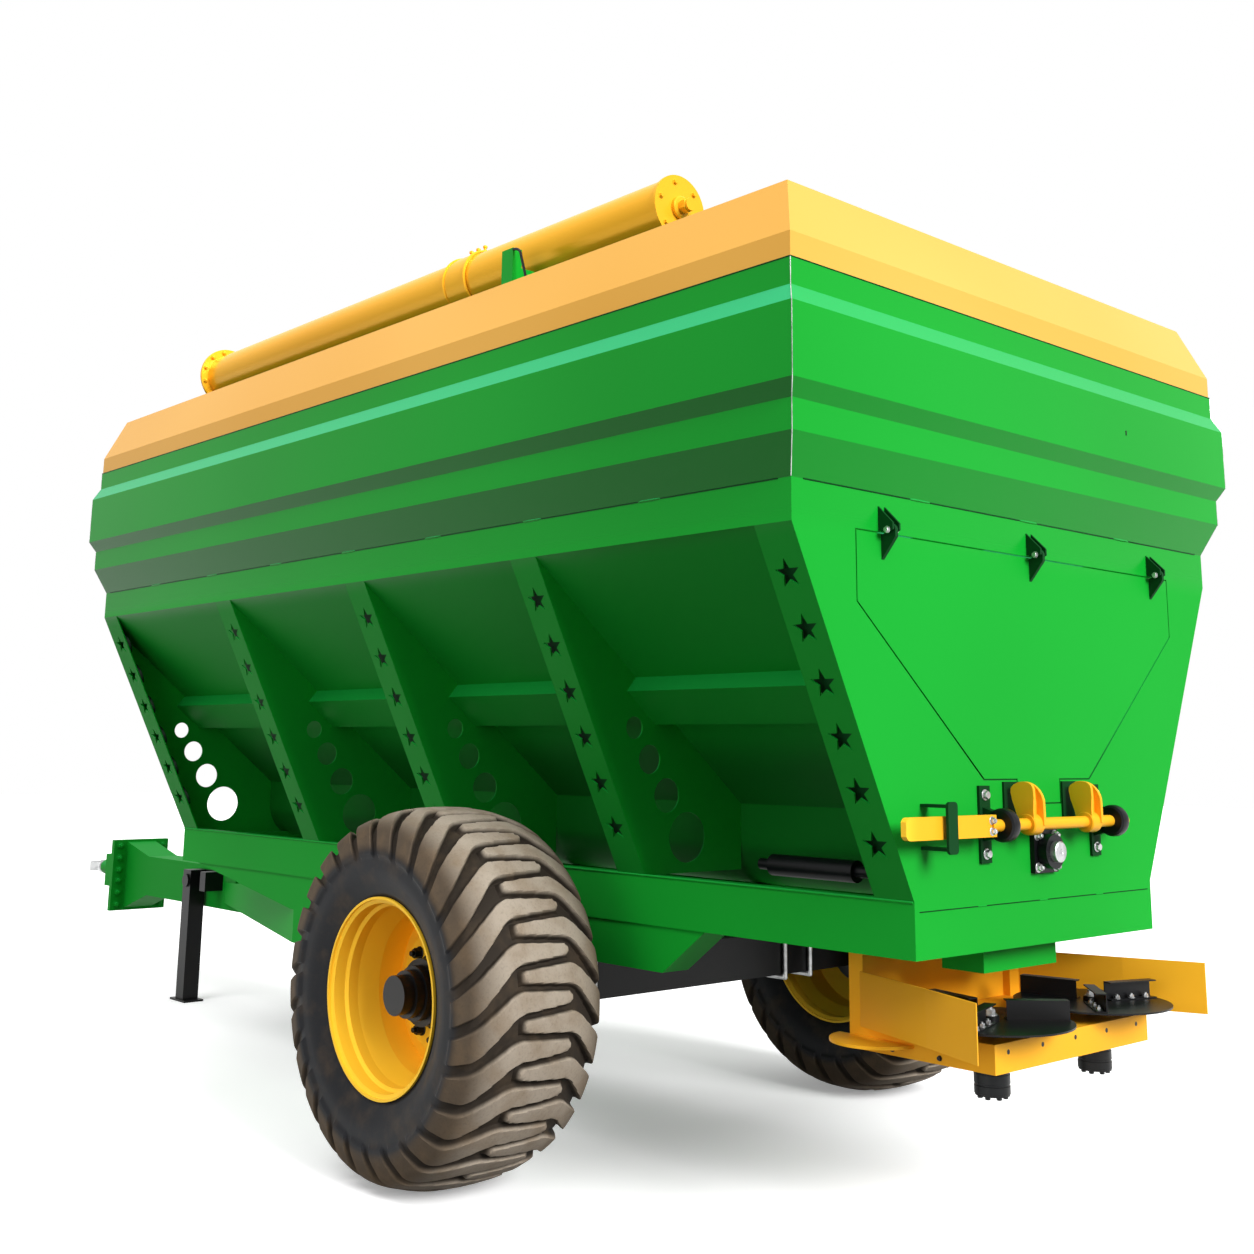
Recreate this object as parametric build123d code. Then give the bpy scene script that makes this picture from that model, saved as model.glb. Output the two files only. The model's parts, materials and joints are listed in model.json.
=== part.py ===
from build123d import *
from collections import namedtuple
from math import atan2, cos, degrees, hypot, pi, sin
import os

# Trailed fertilizer spreader as an assembly of separate nodes, in millimetres.
# X runs forward to the tow eye, Y to the left side, Z up from the ground.
# Lengths along X start at the rear plate's outer face; save() moves them to mid length.

# Hopper body
BODY_LENGTH = 5060
WAIST_HALF = 1275
WAIST_BOTTOM = 2240
WAIST_TOP = 2375
SHEET = 5
END_PLATE = 6
LOW_BAND_OUT = 55
WIDE_BAND_OUT = 85
NECK_OUT = 55
RIM_OUT = 52
RIM_TOP_OUT = -30
MITRE_REACH = 150
LOW_SLOPE = 130
LOW_BAND = 100
WIDE_SLOPE = 55
WIDE_BAND = 240
NECK_SLOPE = 60
NECK_BAND = 90
RIM_BAND = 85
RIM_LEAN = 210
Step = namedtuple("Step", "rise out")
WALL_STEPS = (
    Step(0, 0),
    Step(LOW_SLOPE, LOW_BAND_OUT),
    Step(LOW_BAND, LOW_BAND_OUT),
    Step(WIDE_SLOPE, WIDE_BAND_OUT),
    Step(WIDE_BAND, WIDE_BAND_OUT),
    Step(NECK_SLOPE, NECK_OUT),
    Step(NECK_BAND, NECK_OUT),
)
RIM_STEPS = (
    Step(0, RIM_OUT),
    Step(RIM_BAND, RIM_OUT),
    Step(RIM_LEAN, RIM_TOP_OUT),
)
WALL_TOP = WAIST_TOP + sum(step.rise for step in WALL_STEPS)
RIM_TOP = WALL_TOP + sum(step.rise for step in RIM_STEPS)

# Trough and conveyor screw
SCREW_Z = 1228
TROUGH_HALF = 200
TROUGH_TOP = 1349
SCREW_RADIUS = 170
SCREW_SHAFT_RADIUS = 35
SCREW_START = 90
SCREW_STOP = 50
SCREW_PITCH = 300
SCREW_STEPS = 12
SCREW_FLIGHT = 8
SCREW_CORE = 28
SCREW_STUB = 75
CURVE_GAP = 0.3

# Frame under the hopper
FRAME_HALF = 720
FRAME_BOTTOM = 920
RAIL_TOP = 1095
RAIL_WIDTH = 80
RAIL_WALL = 8
CROSS_DEPTH = 80
CROSS_TOP = 1065
CHASSIS_STEP_IN = 8
CHASSIS_WIDTH = 132
CHASSIS_OUT = FRAME_HALF - CHASSIS_STEP_IN
CHASSIS_IN = CHASSIS_OUT - CHASSIS_WIDTH
CHASSIS_TOP_START = 930
CHASSIS_TOP_SETBACK = 160
CHASSIS_TOP_END = BODY_LENGTH - CHASSIS_TOP_SETBACK
CHASSIS_FOOT_START = 1150
CHASSIS_FOOT_SETBACK = 1210
CHASSIS_FOOT_END = BODY_LENGTH - CHASSIS_FOOT_SETBACK

# Ribs on the slanted flanks
RIB_FLANGE = 150
RIB_SHEET = 6
RIB_SHARES = (0.245, 0.474, 0.71)
RIB_STARTS = tuple(share * BODY_LENGTH for share in RIB_SHARES)
STAR_COUNT = 6
STAR_POINTS = 5
STAR_RADIUS = 37
STAR_INNER = 15
STAR_FIRST = 0.13
STAR_LAST = 0.85
Hole = namedtuple("Hole", "share inset radius")
WEB_HOLES = (
    Hole(0.527, 203, 42),
    Hole(0.629, 226, 55),
    Hole(0.747, 251, 65),
    Hole(0.885, 284, 95),
)
HAT_FROM_WAIST = 650
HAT_DEPTH = 70
HAT_WIDTH = 190

# Axle and wheels
AXLE_X = 1800
TYRE_RADIUS = 667
TYRE_HALF = 300
HALF_TRACK = 1245
AXLE_SQUARE = 180
AXLE_SETBACK = 145
AXLE_HALF = HALF_TRACK - AXLE_SETBACK
SPINDLE_RADIUS = 45
UBOLT_RADIUS = 11
UBOLT_CLEAR = 1
CLAMP_PLATE = 36
CLAMP_PLATE_HEIGHT = 34
CLAMP_PLATE_LENGTH = 290
RIM_RADIUS = 350
RIM_SHEET = 9
BEAD_RADIUS = 336
BEAD_TOP = 336.3
Share = namedtuple("Share", "rise width")
SIDE_LINE = (
    Share(0.48, 0.985),
    Share(0.27, 0.955),
)
LINING_LINE = (
    Share(0.76, 0.8),
    Share(0.85, 0),
)
BEAD_OUT = 244
BEAD_IN = 208
LUG_COUNT = 26
LugRow = namedtuple("LugRow", "width rise root_width root_rise rear front")
LUG_ROWS = (
    LugRow(1, 0.56, 0.965, 0.55, -212, -108),
    LugRow(0.9, 0.86, 0.87, 0.76, -164, -56),
    LugRow(0.42, 0.985, 0.42, 0.905, -8, 64),
    LugRow(-0.33, 1, -0.33, 0.92, 20, 58),
)
WELL_RADIUS = 300
WELL_INSIDE = -150
WELL_OUTSIDE = 70
HUMP_INSIDE = 150
HUMP_OUTSIDE = 190
HUMP_DROP = 12
SEAT_WIDTH = 46
FLANGE_LEAN = 6
RIM_LIP = 10
RIM_HALF = 262
DISC_FLAT = 75
DISC_SHEET = 14
DISC_FACE = -5
DISC_CONE = 40
HUB_PILOT = 140
Turn = namedtuple("Turn", "radius end")
HUB_START = -120
HUB_TURNS = (
    Turn(115, -25),
    Turn(200, 0),
    Turn(HUB_PILOT, 16),
    Turn(120, 85),
    Turn(97, 118),
    Turn(84, 152),
    Turn(70, 200),
)
HUB_BORE_END = 70

# Drawbar, hitch and parking stand
DRAWBAR_HALF = 100
DRAWBAR_BOTTOM = 560
DRAWBAR_TOP = 812
DRAWBAR_OVERLAP = 350
DRAWBAR_START = CHASSIS_FOOT_END - DRAWBAR_OVERLAP
HEAD_REACH = 1790
HEAD_LENGTH = 350
HEAD_START = BODY_LENGTH + HEAD_REACH
HEAD_END = HEAD_START + HEAD_LENGTH
HEAD_BOTTOM = 450
HEAD_TOP = 890
FLANGE_PLATE = 20
FLANGE_HALF = 195
FLANGE_BOTTOM = 435
FLANGE_TOP = 905
NOSE_HALF = 110
NOSE_HEIGHT = 215
NOSE_LENGTH = 280
SHANK_RADIUS = 45
SHANK_REACH = 330
EYE_RADIUS = 80
EYE_HEIGHT = 60
EYE_BORE = 25
STRUT_REACH = 680
STRUT_OVERLAP = 250
STRUT_FRONT = BODY_LENGTH + STRUT_REACH
STRUT_REAR = CHASSIS_FOOT_END - STRUT_OVERLAP
STRUT_WIDTH = 220
STRUT_BOTTOM = 600
SADDLE_INSET = 50
SADDLE_SETBACK = 370
SADDLE_XS = (DRAWBAR_START + SADDLE_INSET, BODY_LENGTH - SADDLE_SETBACK)
SADDLE_DEPTH = 120
STAND_REACH = 960
STAND_X = BODY_LENGTH + STAND_REACH
STAND_Y = 170
STAND_SQUARE = 100
STAND_PIVOT_Z = 720
STAND_TOP = 785
STAND_PIN_RADIUS = 20
PIN_GAP = 0.08
FOOT_LENGTH = 200
FOOT_WIDTH = 126
FOOT_PLATE = 12
MOUNT_PLATE = 12
STAND_CLEAR = 6
STAND_BLOCK = 70

# Rear plate, hatch, lock and bearing
HATCH_TOP = 2244
HATCH_HALF = 970
HATCH_KNEE = 2020
HATCH_BOTTOM = 1390
HATCH_BOTTOM_HALF = 227
TONGUE_HALF = 130
TONGUE_TOP = 1472
HATCH_GAP = 5
HINGE_X = -36
HINGE_Z = 2252
HINGE_YS = (-840, 0, 840)
HINGE_PIN_RADIUS = 8
HINGE_EYE_RADIUS = 22
HINGE_LUG = 14
HINGE_CHEEK = 8
HINGE_CHEEK_GAP = 5.5
HINGE_TOP = 2332
HINGE_LUG_FOOT = 2160
LOCK_X = -80
LOCK_Z = 1325
LOCK_RADIUS = 20
LOCK_END = 420
HOOK_Y = 180
HOOK_WIDTH = 56
HOOK_SLOT = 24
HOOK_TOP = 1460
HOOK_NOSE = 10
HOOK_EYE = 36
HOOK_ARM = 44
PAD_HALF = 44
PAD_SHEET = 8
PAD_BOTTOM = 1335
CLAMP_Y = 340
CLAMP_RADIUS = 55
CLAMP_WIDTH = 40
CLAMP_STRIP_HALF = 30
CLAMP_STRIP_DROP = 125
LEVER_START = 395
LEVER_END = 870
LEVER_HEIGHT = 70
LEVER_SHEET = 20
KEEPER_Y = 660
KEEPER_HALF = 25
KEEPER_SHEET = 10
KEEPER_HEIGHT = 160
KEEPER_GAP = 12
BEARING_HALF = 72
BEARING_PLATE = 18
BEARING_BOSS_RADIUS = 58
BEARING_BOSS = 55

# Spreading unit under the rear
UNIT_BOTTOM = 570
UNIT_TOP = 660
UNIT_HALF = 464
UNIT_BEAM = 60
UNIT_REAR = -100
POST_START = 420
BACK_SHEET = 5
BACK_TOP = 880
TRAY_SHEET = 6
GUARD_SHEET = 5
GUARD_BOTTOM = 645
GUARD_TOP = 822
Kink = namedtuple("Kink", "x out")
GUARD_LINE = (
    Kink(POST_START + 10, 0),
    Kink(60, 130),
    Kink(-205, 236),
)
FIN_Z = 605
FIN_SHEET = 10
FIN_RADIUS = 156
FIN_X = 368
SPINNER_X = 20
SPINNER_Y = 310
SPINNER_Z = 697
SPINNER_RADIUS = 270
SPINNER_SHEET = 6
SPINNER_HUB = 30
SPINNER_HUB_HEIGHT = 16
SPINNER_SHAFT = 19
SPINNER_SHAFT_DROP = 110
VANE_COUNT = 3
VANE_TURN = -12
VANE_INNER = 55
VANE_OUTER = 262
VANE_HEIGHT = 62
VANE_LIP = 38
VANE_SHEET = 4
MOTOR_RADIUS = 56
MOTOR_BOTTOM = 475
CHUTE_START = 100
CHUTE_END = 270
CHUTE_HALF = 220
CHUTE_BOTTOM = 830
CHUTE_TOP = 1080
OUTLET_MARGIN = 20
CYLINDER_Y = 470
CYLINDER_Z = 1150
CYLINDER_RADIUS = 38
CYLINDER_ROD = 20
CYLINDER_START = 430
CYLINDER_END = 820
CYLINDER_EYE = 60

# Folding auger on top
AUGER_RADIUS = 119.5
AUGER_SHEET = 5
AUGER_INSET = 305
AUGER_RISE = 190
AUGER_SETBACK = 670
AUGER_Y = WAIST_HALF - AUGER_INSET
AUGER_Z = RIM_TOP + AUGER_RISE
AUGER_REAR = 820
AUGER_FRONT = BODY_LENGTH - AUGER_SETBACK
FLANGE_RADIUS = 158
FLANGE_SHEET = 15
FLANGE_HALF_GAP = 3
FOLD_OFFSET = 180
FOLD_EYE = 22
FOLD_PIN = 10
FOLD_LUG = 36
FOLD_CHEEK = 16
FOLD_CHEEK_GAP = 5.5
FOLD_LUG_REACH = 75
FOLD_LUG_DEPTH = 60
CAP_RADIUS = AUGER_RADIUS + 8
CAP_SHEET = 12
CAP_STUB_RADIUS = 24
CAP_STUB = 60
BAND_X = 2150
BAND_WIDTH = 150
BAND_THICK = 8
LEG_FOOT_Z = TROUGH_TOP + 31
LEG_FOOT_Y = -5
BRACE_SQUARE = 60
BRACE_ZS = (1820, 2290)
CRADLE_X = 1470
CRADLE_WIDTH = 70
CRADLE_POST_IN = WAIST_HALF - 80
CRADLE_TOP = AUGER_Z - 50
CRADLE_ARM_END = AUGER_Y - AUGER_RADIUS
CRADLE_ARM_DEPTH = 40
CRADLE_FOOT = RIM_TOP - 95
CRADLE_CLEAR = 6

# Sizes that follow from the ones above
FLANGE_END = HEAD_END + 2 * FLANGE_PLATE
NOSE_END = FLANGE_END + NOSE_LENGTH
EYE_X = NOSE_END + SHANK_REACH
AUGER_LEAN = degrees(atan2(AUGER_Y - LEG_FOOT_Y, AUGER_Z - LEG_FOOT_Z))
SCREW_END = AUGER_FRONT - SCREW_STOP
REAR_TIP = SPINNER_X - SPINNER_RADIUS
FRONT_TIP = EYE_X + EYE_RADIUS
X_MIDDLE = (REAR_TIP + FRONT_TIP) / 2
WALL_FALL = (WAIST_BOTTOM - TROUGH_TOP) / (WAIST_HALF - TROUGH_HALF)
WALL_ANGLE = atan2(WAIST_BOTTOM - TROUGH_TOP, WAIST_HALF - TROUGH_HALF)
WALL_LIFT = SHEET / cos(WALL_ANGLE)
FLANK_RUN = WAIST_HALF - FRAME_HALF
FLANK_RISE = WAIST_BOTTOM - RAIL_TOP
FLANK_LENGTH = hypot(FLANK_RUN, FLANK_RISE)
RIB_IN = RIB_SHEET * FLANK_LENGTH / FLANK_RISE
AXLE_TOP = TYRE_RADIUS + AXLE_SQUARE / 2
AXLE_BOTTOM = TYRE_RADIUS - AXLE_SQUARE / 2
EYE_Z = (DRAWBAR_BOTTOM + DRAWBAR_TOP) / 2
NODES = {}


def block(x0, x1, y0, y1, z0, z1):
    """Box between two corners."""
    return Pos((x0 + x1) / 2, (y0 + y1) / 2, (z0 + z1) / 2) * Box(x1 - x0, y1 - y0, z1 - z0)


def slab_yz(points, x0, x1):
    """Plate with a (y, z) outline between two lengths."""
    face = Plane.YZ.offset(x0) * Polygon(*points, align=None)
    return extrude(face, amount=x1 - x0, dir=(1, 0, 0))


def slab_xz(points, y0, y1):
    """Plate with an (x, z) outline between two widths."""
    plane = Plane((0, y0, 0), x_dir=(1, 0, 0), z_dir=(0, -1, 0))
    return extrude(plane * Polygon(*points, align=None), amount=y1 - y0, dir=(0, 1, 0))


def slab_xy(points, z0, z1):
    """Plate with an (x, y) outline between two heights."""
    return extrude(Plane.XY.offset(z0) * Polygon(*points, align=None), amount=z1 - z0, dir=(0, 0, 1))


def rod(start, end, radius):
    """Round bar from one point to another."""
    run = Vector(*end) - Vector(*start)
    return Solid.make_cylinder(radius, run.length, Plane(origin=start, z_dir=run))


def turned_y(points):
    """Solid turned about the Y axis from (radius, y) points."""
    return revolve(Polygon(*points, align=None), axis=Axis.Y)


def other_side(shape):
    """Copy of a shape mirrored to the other side of the machine."""
    return mirror(shape, about=Plane.XZ)


def both_sides(shape):
    """A shape and its mirrored copy."""
    return [shape, other_side(shape)]


def save(name, *shapes):
    """Write the shapes as one node in the centred frame."""
    solids = [solid for shape in shapes for solid in shape.solids()]
    body = solids[0] if len(solids) == 1 else Compound(solids)
    export_step(Pos(-X_MIDDLE, 0, 0) * body, f"parts/{name}.step")
    NODES[name] = len(solids)


def band_profile(steps, base):
    """Closed (outward, z) outline of a folded sheet from its steps."""
    outer = []
    height = base
    for step in steps:
        height += step.rise
        outer.append((step.out, height))
    inner = [(out - SHEET, z) for out, z in outer]
    return outer + inner[::-1]


def long_band(steps, base):
    """Left upper wall with mitred ends."""
    points = [(WAIST_HALF + out, z) for out, z in band_profile(steps, base)]
    sheet = slab_yz(points, -MITRE_REACH, BODY_LENGTH + MITRE_REACH)
    outside = WAIST_HALF + MITRE_REACH
    inside = WAIST_HALF - MITRE_REACH
    plan = (
        (-MITRE_REACH, outside),
        (BODY_LENGTH + MITRE_REACH, outside),
        (BODY_LENGTH - MITRE_REACH, inside),
        (MITRE_REACH, inside),
    )
    return sheet & slab_xy(plan, WAIST_BOTTOM, RIM_TOP + SHEET)


def short_band(steps, base, end, way):
    """End upper wall with mitred ends, at x = end, facing along way."""
    points = [(end + way * out, z) for out, z in band_profile(steps, base)]
    sheet = slab_xz(points, -WAIST_HALF - MITRE_REACH, WAIST_HALF + MITRE_REACH)
    wide = WAIST_HALF + MITRE_REACH
    slim = WAIST_HALF - MITRE_REACH
    plan = (
        (end + way * MITRE_REACH, -wide),
        (end + way * MITRE_REACH, wide),
        (end - way * MITRE_REACH, slim),
        (end - way * MITRE_REACH, -slim),
    )
    return sheet & slab_xy(plan, WAIST_BOTTOM, RIM_TOP + SHEET)


def build_walls():
    """Stepped upper walls and the rim above them."""
    for label, steps, base in (("wall", WALL_STEPS, WAIST_TOP), ("rim", RIM_STEPS, WALL_TOP)):
        left = long_band(steps, base)
        save(f"{label}_left", left)
        save(f"{label}_right", other_side(left))
        save(f"{label}_rear", short_band(steps, base, 0, -1))
        save(f"{label}_front", short_band(steps, base, BODY_LENGTH, 1))


def end_outline():
    """(y, z) outline of an end plate."""
    left = [
        (WAIST_HALF, WAIST_TOP),
        (WAIST_HALF, WAIST_BOTTOM),
        (FRAME_HALF, RAIL_TOP),
        (FRAME_HALF, CROSS_TOP),
    ]
    return left + [(-y, z) for y, z in left[::-1]]


def hatch_outline(gap):
    """(y, z) outline of the hatch, or of its opening when gap is above zero."""
    run = HATCH_HALF - HATCH_BOTTOM_HALF
    lean = run / (HATCH_KNEE - HATCH_BOTTOM)
    corner = HATCH_BOTTOM_HALF + lean * (TONGUE_TOP - HATCH_BOTTOM)
    left = [
        (HATCH_HALF + gap, HATCH_TOP + gap),
        (HATCH_HALF + gap, HATCH_KNEE - gap / 2),
        (corner + gap, TONGUE_TOP - gap),
        (TONGUE_HALF + gap, TONGUE_TOP - gap),
        (TONGUE_HALF + gap, HATCH_BOTTOM - gap),
    ]
    return left + [(-y, z) for y, z in left[::-1]]


def web_cutters(x0, x1, side):
    """Round cutters for the holes in one rib web, on the side of the machine given by its sign."""
    cutters = []
    for hole in WEB_HOLES:
        flank_y, z = flank_point(hole.share)
        y = side * (flank_y - hole.inset)
        cutters.append(rod((x0, y, z), (x1, y, z), hole.radius))
    return cutters


def build_ends():
    """Flat end plates, V walls, waist beams and trough."""
    shaft_hole = rod((-1, 0, SCREW_Z), (BODY_LENGTH + 1, 0, SCREW_Z), SCREW_SHAFT_RADIUS + SHEET)
    rear = slab_yz(end_outline(), 0, END_PLATE)
    rear -= slab_yz(hatch_outline(HATCH_GAP), -1, END_PLATE + 1)
    save("rear_plate", rear - shaft_hole)
    front = slab_yz(end_outline(), BODY_LENGTH - END_PLATE, BODY_LENGTH) - shaft_hole
    for side in (-1, 1):
        for cutter in web_cutters(BODY_LENGTH - 2 * END_PLATE, BODY_LENGTH + 1, side):
            front -= cutter
    save("front_plate", front)
    start = END_PLATE
    end = BODY_LENGTH - END_PLATE
    inner_top = WAIST_BOTTOM + WALL_LIFT - SHEET * WALL_FALL
    slope = [
        (WAIST_HALF, WAIST_BOTTOM),
        (TROUGH_HALF, TROUGH_TOP),
        (TROUGH_HALF, TROUGH_TOP + WALL_LIFT),
        (WAIST_HALF - SHEET, inner_top),
        (WAIST_HALF, inner_top),
    ]
    save("v_walls", *both_sides(slab_yz(slope, start, end)))
    band = block(start, end, WAIST_HALF - SHEET, WAIST_HALF, inner_top, WAIST_TOP)
    save("waist_beams", *both_sides(band))
    hollow = TROUGH_HALF - SHEET
    edge = TROUGH_TOP + WALL_LIFT
    section = [
        Line((-TROUGH_HALF, edge), (-TROUGH_HALF, SCREW_Z)),
        ThreePointArc((-TROUGH_HALF, SCREW_Z), (0, SCREW_Z - TROUGH_HALF), (TROUGH_HALF, SCREW_Z)),
        Polyline((TROUGH_HALF, SCREW_Z), (TROUGH_HALF, edge), (hollow, edge), (hollow, SCREW_Z)),
        ThreePointArc((hollow, SCREW_Z), (0, SCREW_Z - hollow), (-hollow, SCREW_Z)),
        Polyline((-hollow, SCREW_Z), (-hollow, edge), (-TROUGH_HALF, edge)),
    ]
    trough = extrude(Plane.YZ.offset(start) * make_face(section), amount=end - start, dir=(1, 0, 0))
    outlet_half = TROUGH_HALF - 2 * OUTLET_MARGIN
    outlet_start = CHUTE_START + OUTLET_MARGIN
    outlet_end = CHUTE_END - OUTLET_MARGIN
    trough -= block(outlet_start, outlet_end, -outlet_half, outlet_half, FRAME_BOTTOM, SCREW_Z)
    save("trough", trough)


def flank_point(share):
    """(y, z) on the flank's outer line, from its top down."""
    return WAIST_HALF - FLANK_RUN * share, WAIST_BOTTOM - FLANK_RISE * share


def rib_top():
    """(y, z) where a rib's inner line meets the V wall's outer face."""
    lean = FLANK_RUN / FLANK_RISE
    drop = RIB_IN * WALL_FALL / (1 - lean * WALL_FALL)
    return WAIST_HALF - RIB_IN - lean * drop, WAIST_BOTTOM - drop


def rib_flange(x0):
    """Slanted flange plate of one rib with its star cut-outs."""
    outline = [
        (WAIST_HALF, WAIST_BOTTOM),
        (FRAME_HALF, RAIL_TOP),
        (FRAME_HALF - RIB_IN, RAIL_TOP),
        rib_top(),
    ]
    plate = slab_yz(outline, x0, x0 + RIB_FLANGE)
    star = []
    for index in range(2 * STAR_POINTS):
        radius = STAR_INNER if index % 2 else STAR_RADIUS
        angle = pi / 2 + pi * index / STAR_POINTS
        star.append((radius * cos(angle), radius * sin(angle)))
    out = Vector(0, FLANK_RISE, -FLANK_RUN).normalized()
    for index in range(STAR_COUNT):
        share = STAR_FIRST + (STAR_LAST - STAR_FIRST) * index / (STAR_COUNT - 1)
        y, z = flank_point(share)
        centre = Vector(x0 + RIB_FLANGE / 2, y, z) - out * (2 * RIB_SHEET)
        face = Plane(origin=centre, x_dir=(1, 0, 0), z_dir=out) * Polygon(*star, align=None)
        plate -= extrude(face, amount=4 * RIB_SHEET, dir=out)
    return plate


def rib_web(x0):
    """Web plate of one rib between the flange and the V wall."""
    outline = [
        rib_top(),
        (FRAME_HALF - RIB_IN, RAIL_TOP),
        (TROUGH_HALF, RAIL_TOP),
        (TROUGH_HALF, TROUGH_TOP),
    ]
    web = slab_yz(outline, x0, x0 + RIB_SHEET)
    web -= rod((x0 - 1, 0, SCREW_Z), (x0 + RIB_SHEET + 1, 0, SCREW_Z), TROUGH_HALF + CURVE_GAP)
    for cutter in web_cutters(x0 - 1, x0 + RIB_SHEET + 1, 1):
        web -= cutter
    return web


def wall_stiffener(x0, x1):
    """Channel on the outside of the V wall between two webs."""
    along = Vector(-cos(WALL_ANGLE), -sin(WALL_ANGLE))
    out = Vector(sin(WALL_ANGLE), -cos(WALL_ANGLE))
    top = Vector(WAIST_HALF, WAIST_BOTTOM) + along * HAT_FROM_WAIST
    low = top + along * HAT_WIDTH
    points = [
        top,
        top + out * HAT_DEPTH,
        low + out * HAT_DEPTH,
        low,
        low - along * SHEET,
        low - along * SHEET + out * (HAT_DEPTH - SHEET),
        top + along * SHEET + out * (HAT_DEPTH - SHEET),
        top + along * SHEET,
    ]
    return slab_yz([(point.X, point.Y) for point in points], x0, x1)


def build_ribs():
    """Ribs, their webs and the stiffeners between them."""
    flange_starts = (END_PLATE, *RIB_STARTS, BODY_LENGTH - END_PLATE - RIB_FLANGE)
    flanges = [shape for x0 in flange_starts for shape in both_sides(rib_flange(x0))]
    save("rib_flanges", *flanges)
    webs = [shape for x0 in RIB_STARTS for shape in both_sides(rib_web(x0))]
    save("rib_webs", *webs)
    bay_starts = (END_PLATE, *(x0 + RIB_SHEET for x0 in RIB_STARTS))
    bay_ends = (*RIB_STARTS, BODY_LENGTH - END_PLATE)
    hats = []
    for x0, x1 in zip(bay_starts, bay_ends):
        hats += both_sides(wall_stiffener(x0, x1))
    save("wall_stiffeners", *hats)


def build_frame():
    """Rails, cross beams and chassis side beams."""
    start = CROSS_DEPTH
    end = BODY_LENGTH - CROSS_DEPTH
    rail_in = FRAME_HALF - RAIL_WIDTH
    rail = block(start, end, rail_in, FRAME_HALF, FRAME_BOTTOM, RAIL_TOP)
    rail -= block(
        start,
        end,
        rail_in + RAIL_WALL,
        FRAME_HALF - RAIL_WALL,
        FRAME_BOTTOM + RAIL_WALL,
        RAIL_TOP - RAIL_WALL,
    )
    save("rails", *both_sides(rail))
    inner_end = BODY_LENGTH - END_PLATE
    tunnel = rod((END_PLATE, 0, SCREW_Z), (inner_end, 0, SCREW_Z), TROUGH_HALF + CURVE_GAP)
    ends = []
    for x0, ear in ((0, END_PLATE), (end, end)):
        beam = block(x0, x0 + CROSS_DEPTH, -FRAME_HALF, FRAME_HALF, FRAME_BOTTOM, CROSS_TOP)
        ear_end = ear + CROSS_DEPTH - END_PLATE
        for side in both_sides(block(ear, ear_end, rail_in, FRAME_HALF, CROSS_TOP, RAIL_TOP)):
            beam += side
        ends.append(beam - tunnel)
    save("end_beams", *ends)
    middle_top = SCREW_Z - TROUGH_HALF - CURVE_GAP
    middle_starts = (POST_START, *RIB_STARTS)
    middles = [
        block(x0, x0 + CROSS_DEPTH, -rail_in, rail_in, FRAME_BOTTOM, middle_top)
        for x0 in middle_starts
    ]
    save("cross_beams", *middles)
    outline = [
        (CHASSIS_TOP_START, FRAME_BOTTOM),
        (CHASSIS_FOOT_START, AXLE_TOP),
        (CHASSIS_FOOT_END, AXLE_TOP),
        (CHASSIS_TOP_END, FRAME_BOTTOM),
    ]
    beam = slab_xz(outline, CHASSIS_IN, CHASSIS_OUT)
    half = CLAMP_PLATE_LENGTH / 2
    for y0 in (CHASSIS_IN - CLAMP_PLATE, CHASSIS_OUT):
        top = AXLE_TOP + CLAMP_PLATE_HEIGHT
        beam += block(AXLE_X - half, AXLE_X + half, y0, y0 + CLAMP_PLATE, AXLE_TOP, top)
    save("chassis_beams", *both_sides(beam))


def ubolt(y):
    """U-bolt round the axle beam."""
    reach = AXLE_SQUARE / 2 + UBOLT_RADIUS + UBOLT_CLEAR
    low = AXLE_BOTTOM - UBOLT_RADIUS
    front = (AXLE_X + reach, y, low)
    rear = (AXLE_X - reach, y, low)
    shape = Part() + rod(rear, front, UBOLT_RADIUS)
    for corner in (front, rear):
        shape += rod(corner, (corner[0], y, AXLE_TOP), UBOLT_RADIUS)
        shape += Pos(*corner) * Sphere(UBOLT_RADIUS)
    return shape


def build_axle():
    """Axle beam with its spindles and U-bolts."""
    half = AXLE_SQUARE / 2
    beam = block(AXLE_X - half, AXLE_X + half, -AXLE_HALF, AXLE_HALF, AXLE_BOTTOM, AXLE_TOP)
    spindle_end = HALF_TRACK + DISC_FACE + HUB_BORE_END - SHEET
    left = (AXLE_X, spindle_end, TYRE_RADIUS)
    right = (AXLE_X, -spindle_end, TYRE_RADIUS)
    save("axle", beam + rod(right, left, SPINDLE_RADIUS))
    bolts = []
    for y0 in (CHASSIS_IN - CLAMP_PLATE, CHASSIS_OUT):
        bolts += both_sides(ubolt(y0 + CLAMP_PLATE / 2))
    save("axle_clamps", *bolts)


def section_point(rise, width):
    """(radius, y) in the tyre section from shares of the section's height and half width."""
    return BEAD_TOP + rise * (TYRE_RADIUS - BEAD_TOP), width * TYRE_HALF


def around(radius, y, angle):
    """Point at a radius and an angle about the Y axis, measured from Z towards X."""
    return (radius * sin(angle), y, radius * cos(angle))


def flat_faces(polygons):
    """Solid bounded by flat polygons that close a shell."""
    return Solid(Shell([Face(Wire.make_polygon(polygon, close=True)) for polygon in polygons]))


def middle_row():
    """Tread row where a bar crosses the tyre's middle, between its last two rows."""
    row, following = LUG_ROWS[-2:]
    share = row.width / (row.width - following.width)
    return LugRow(*[first + share * (second - first) for first, second in zip(row, following)])


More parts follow.
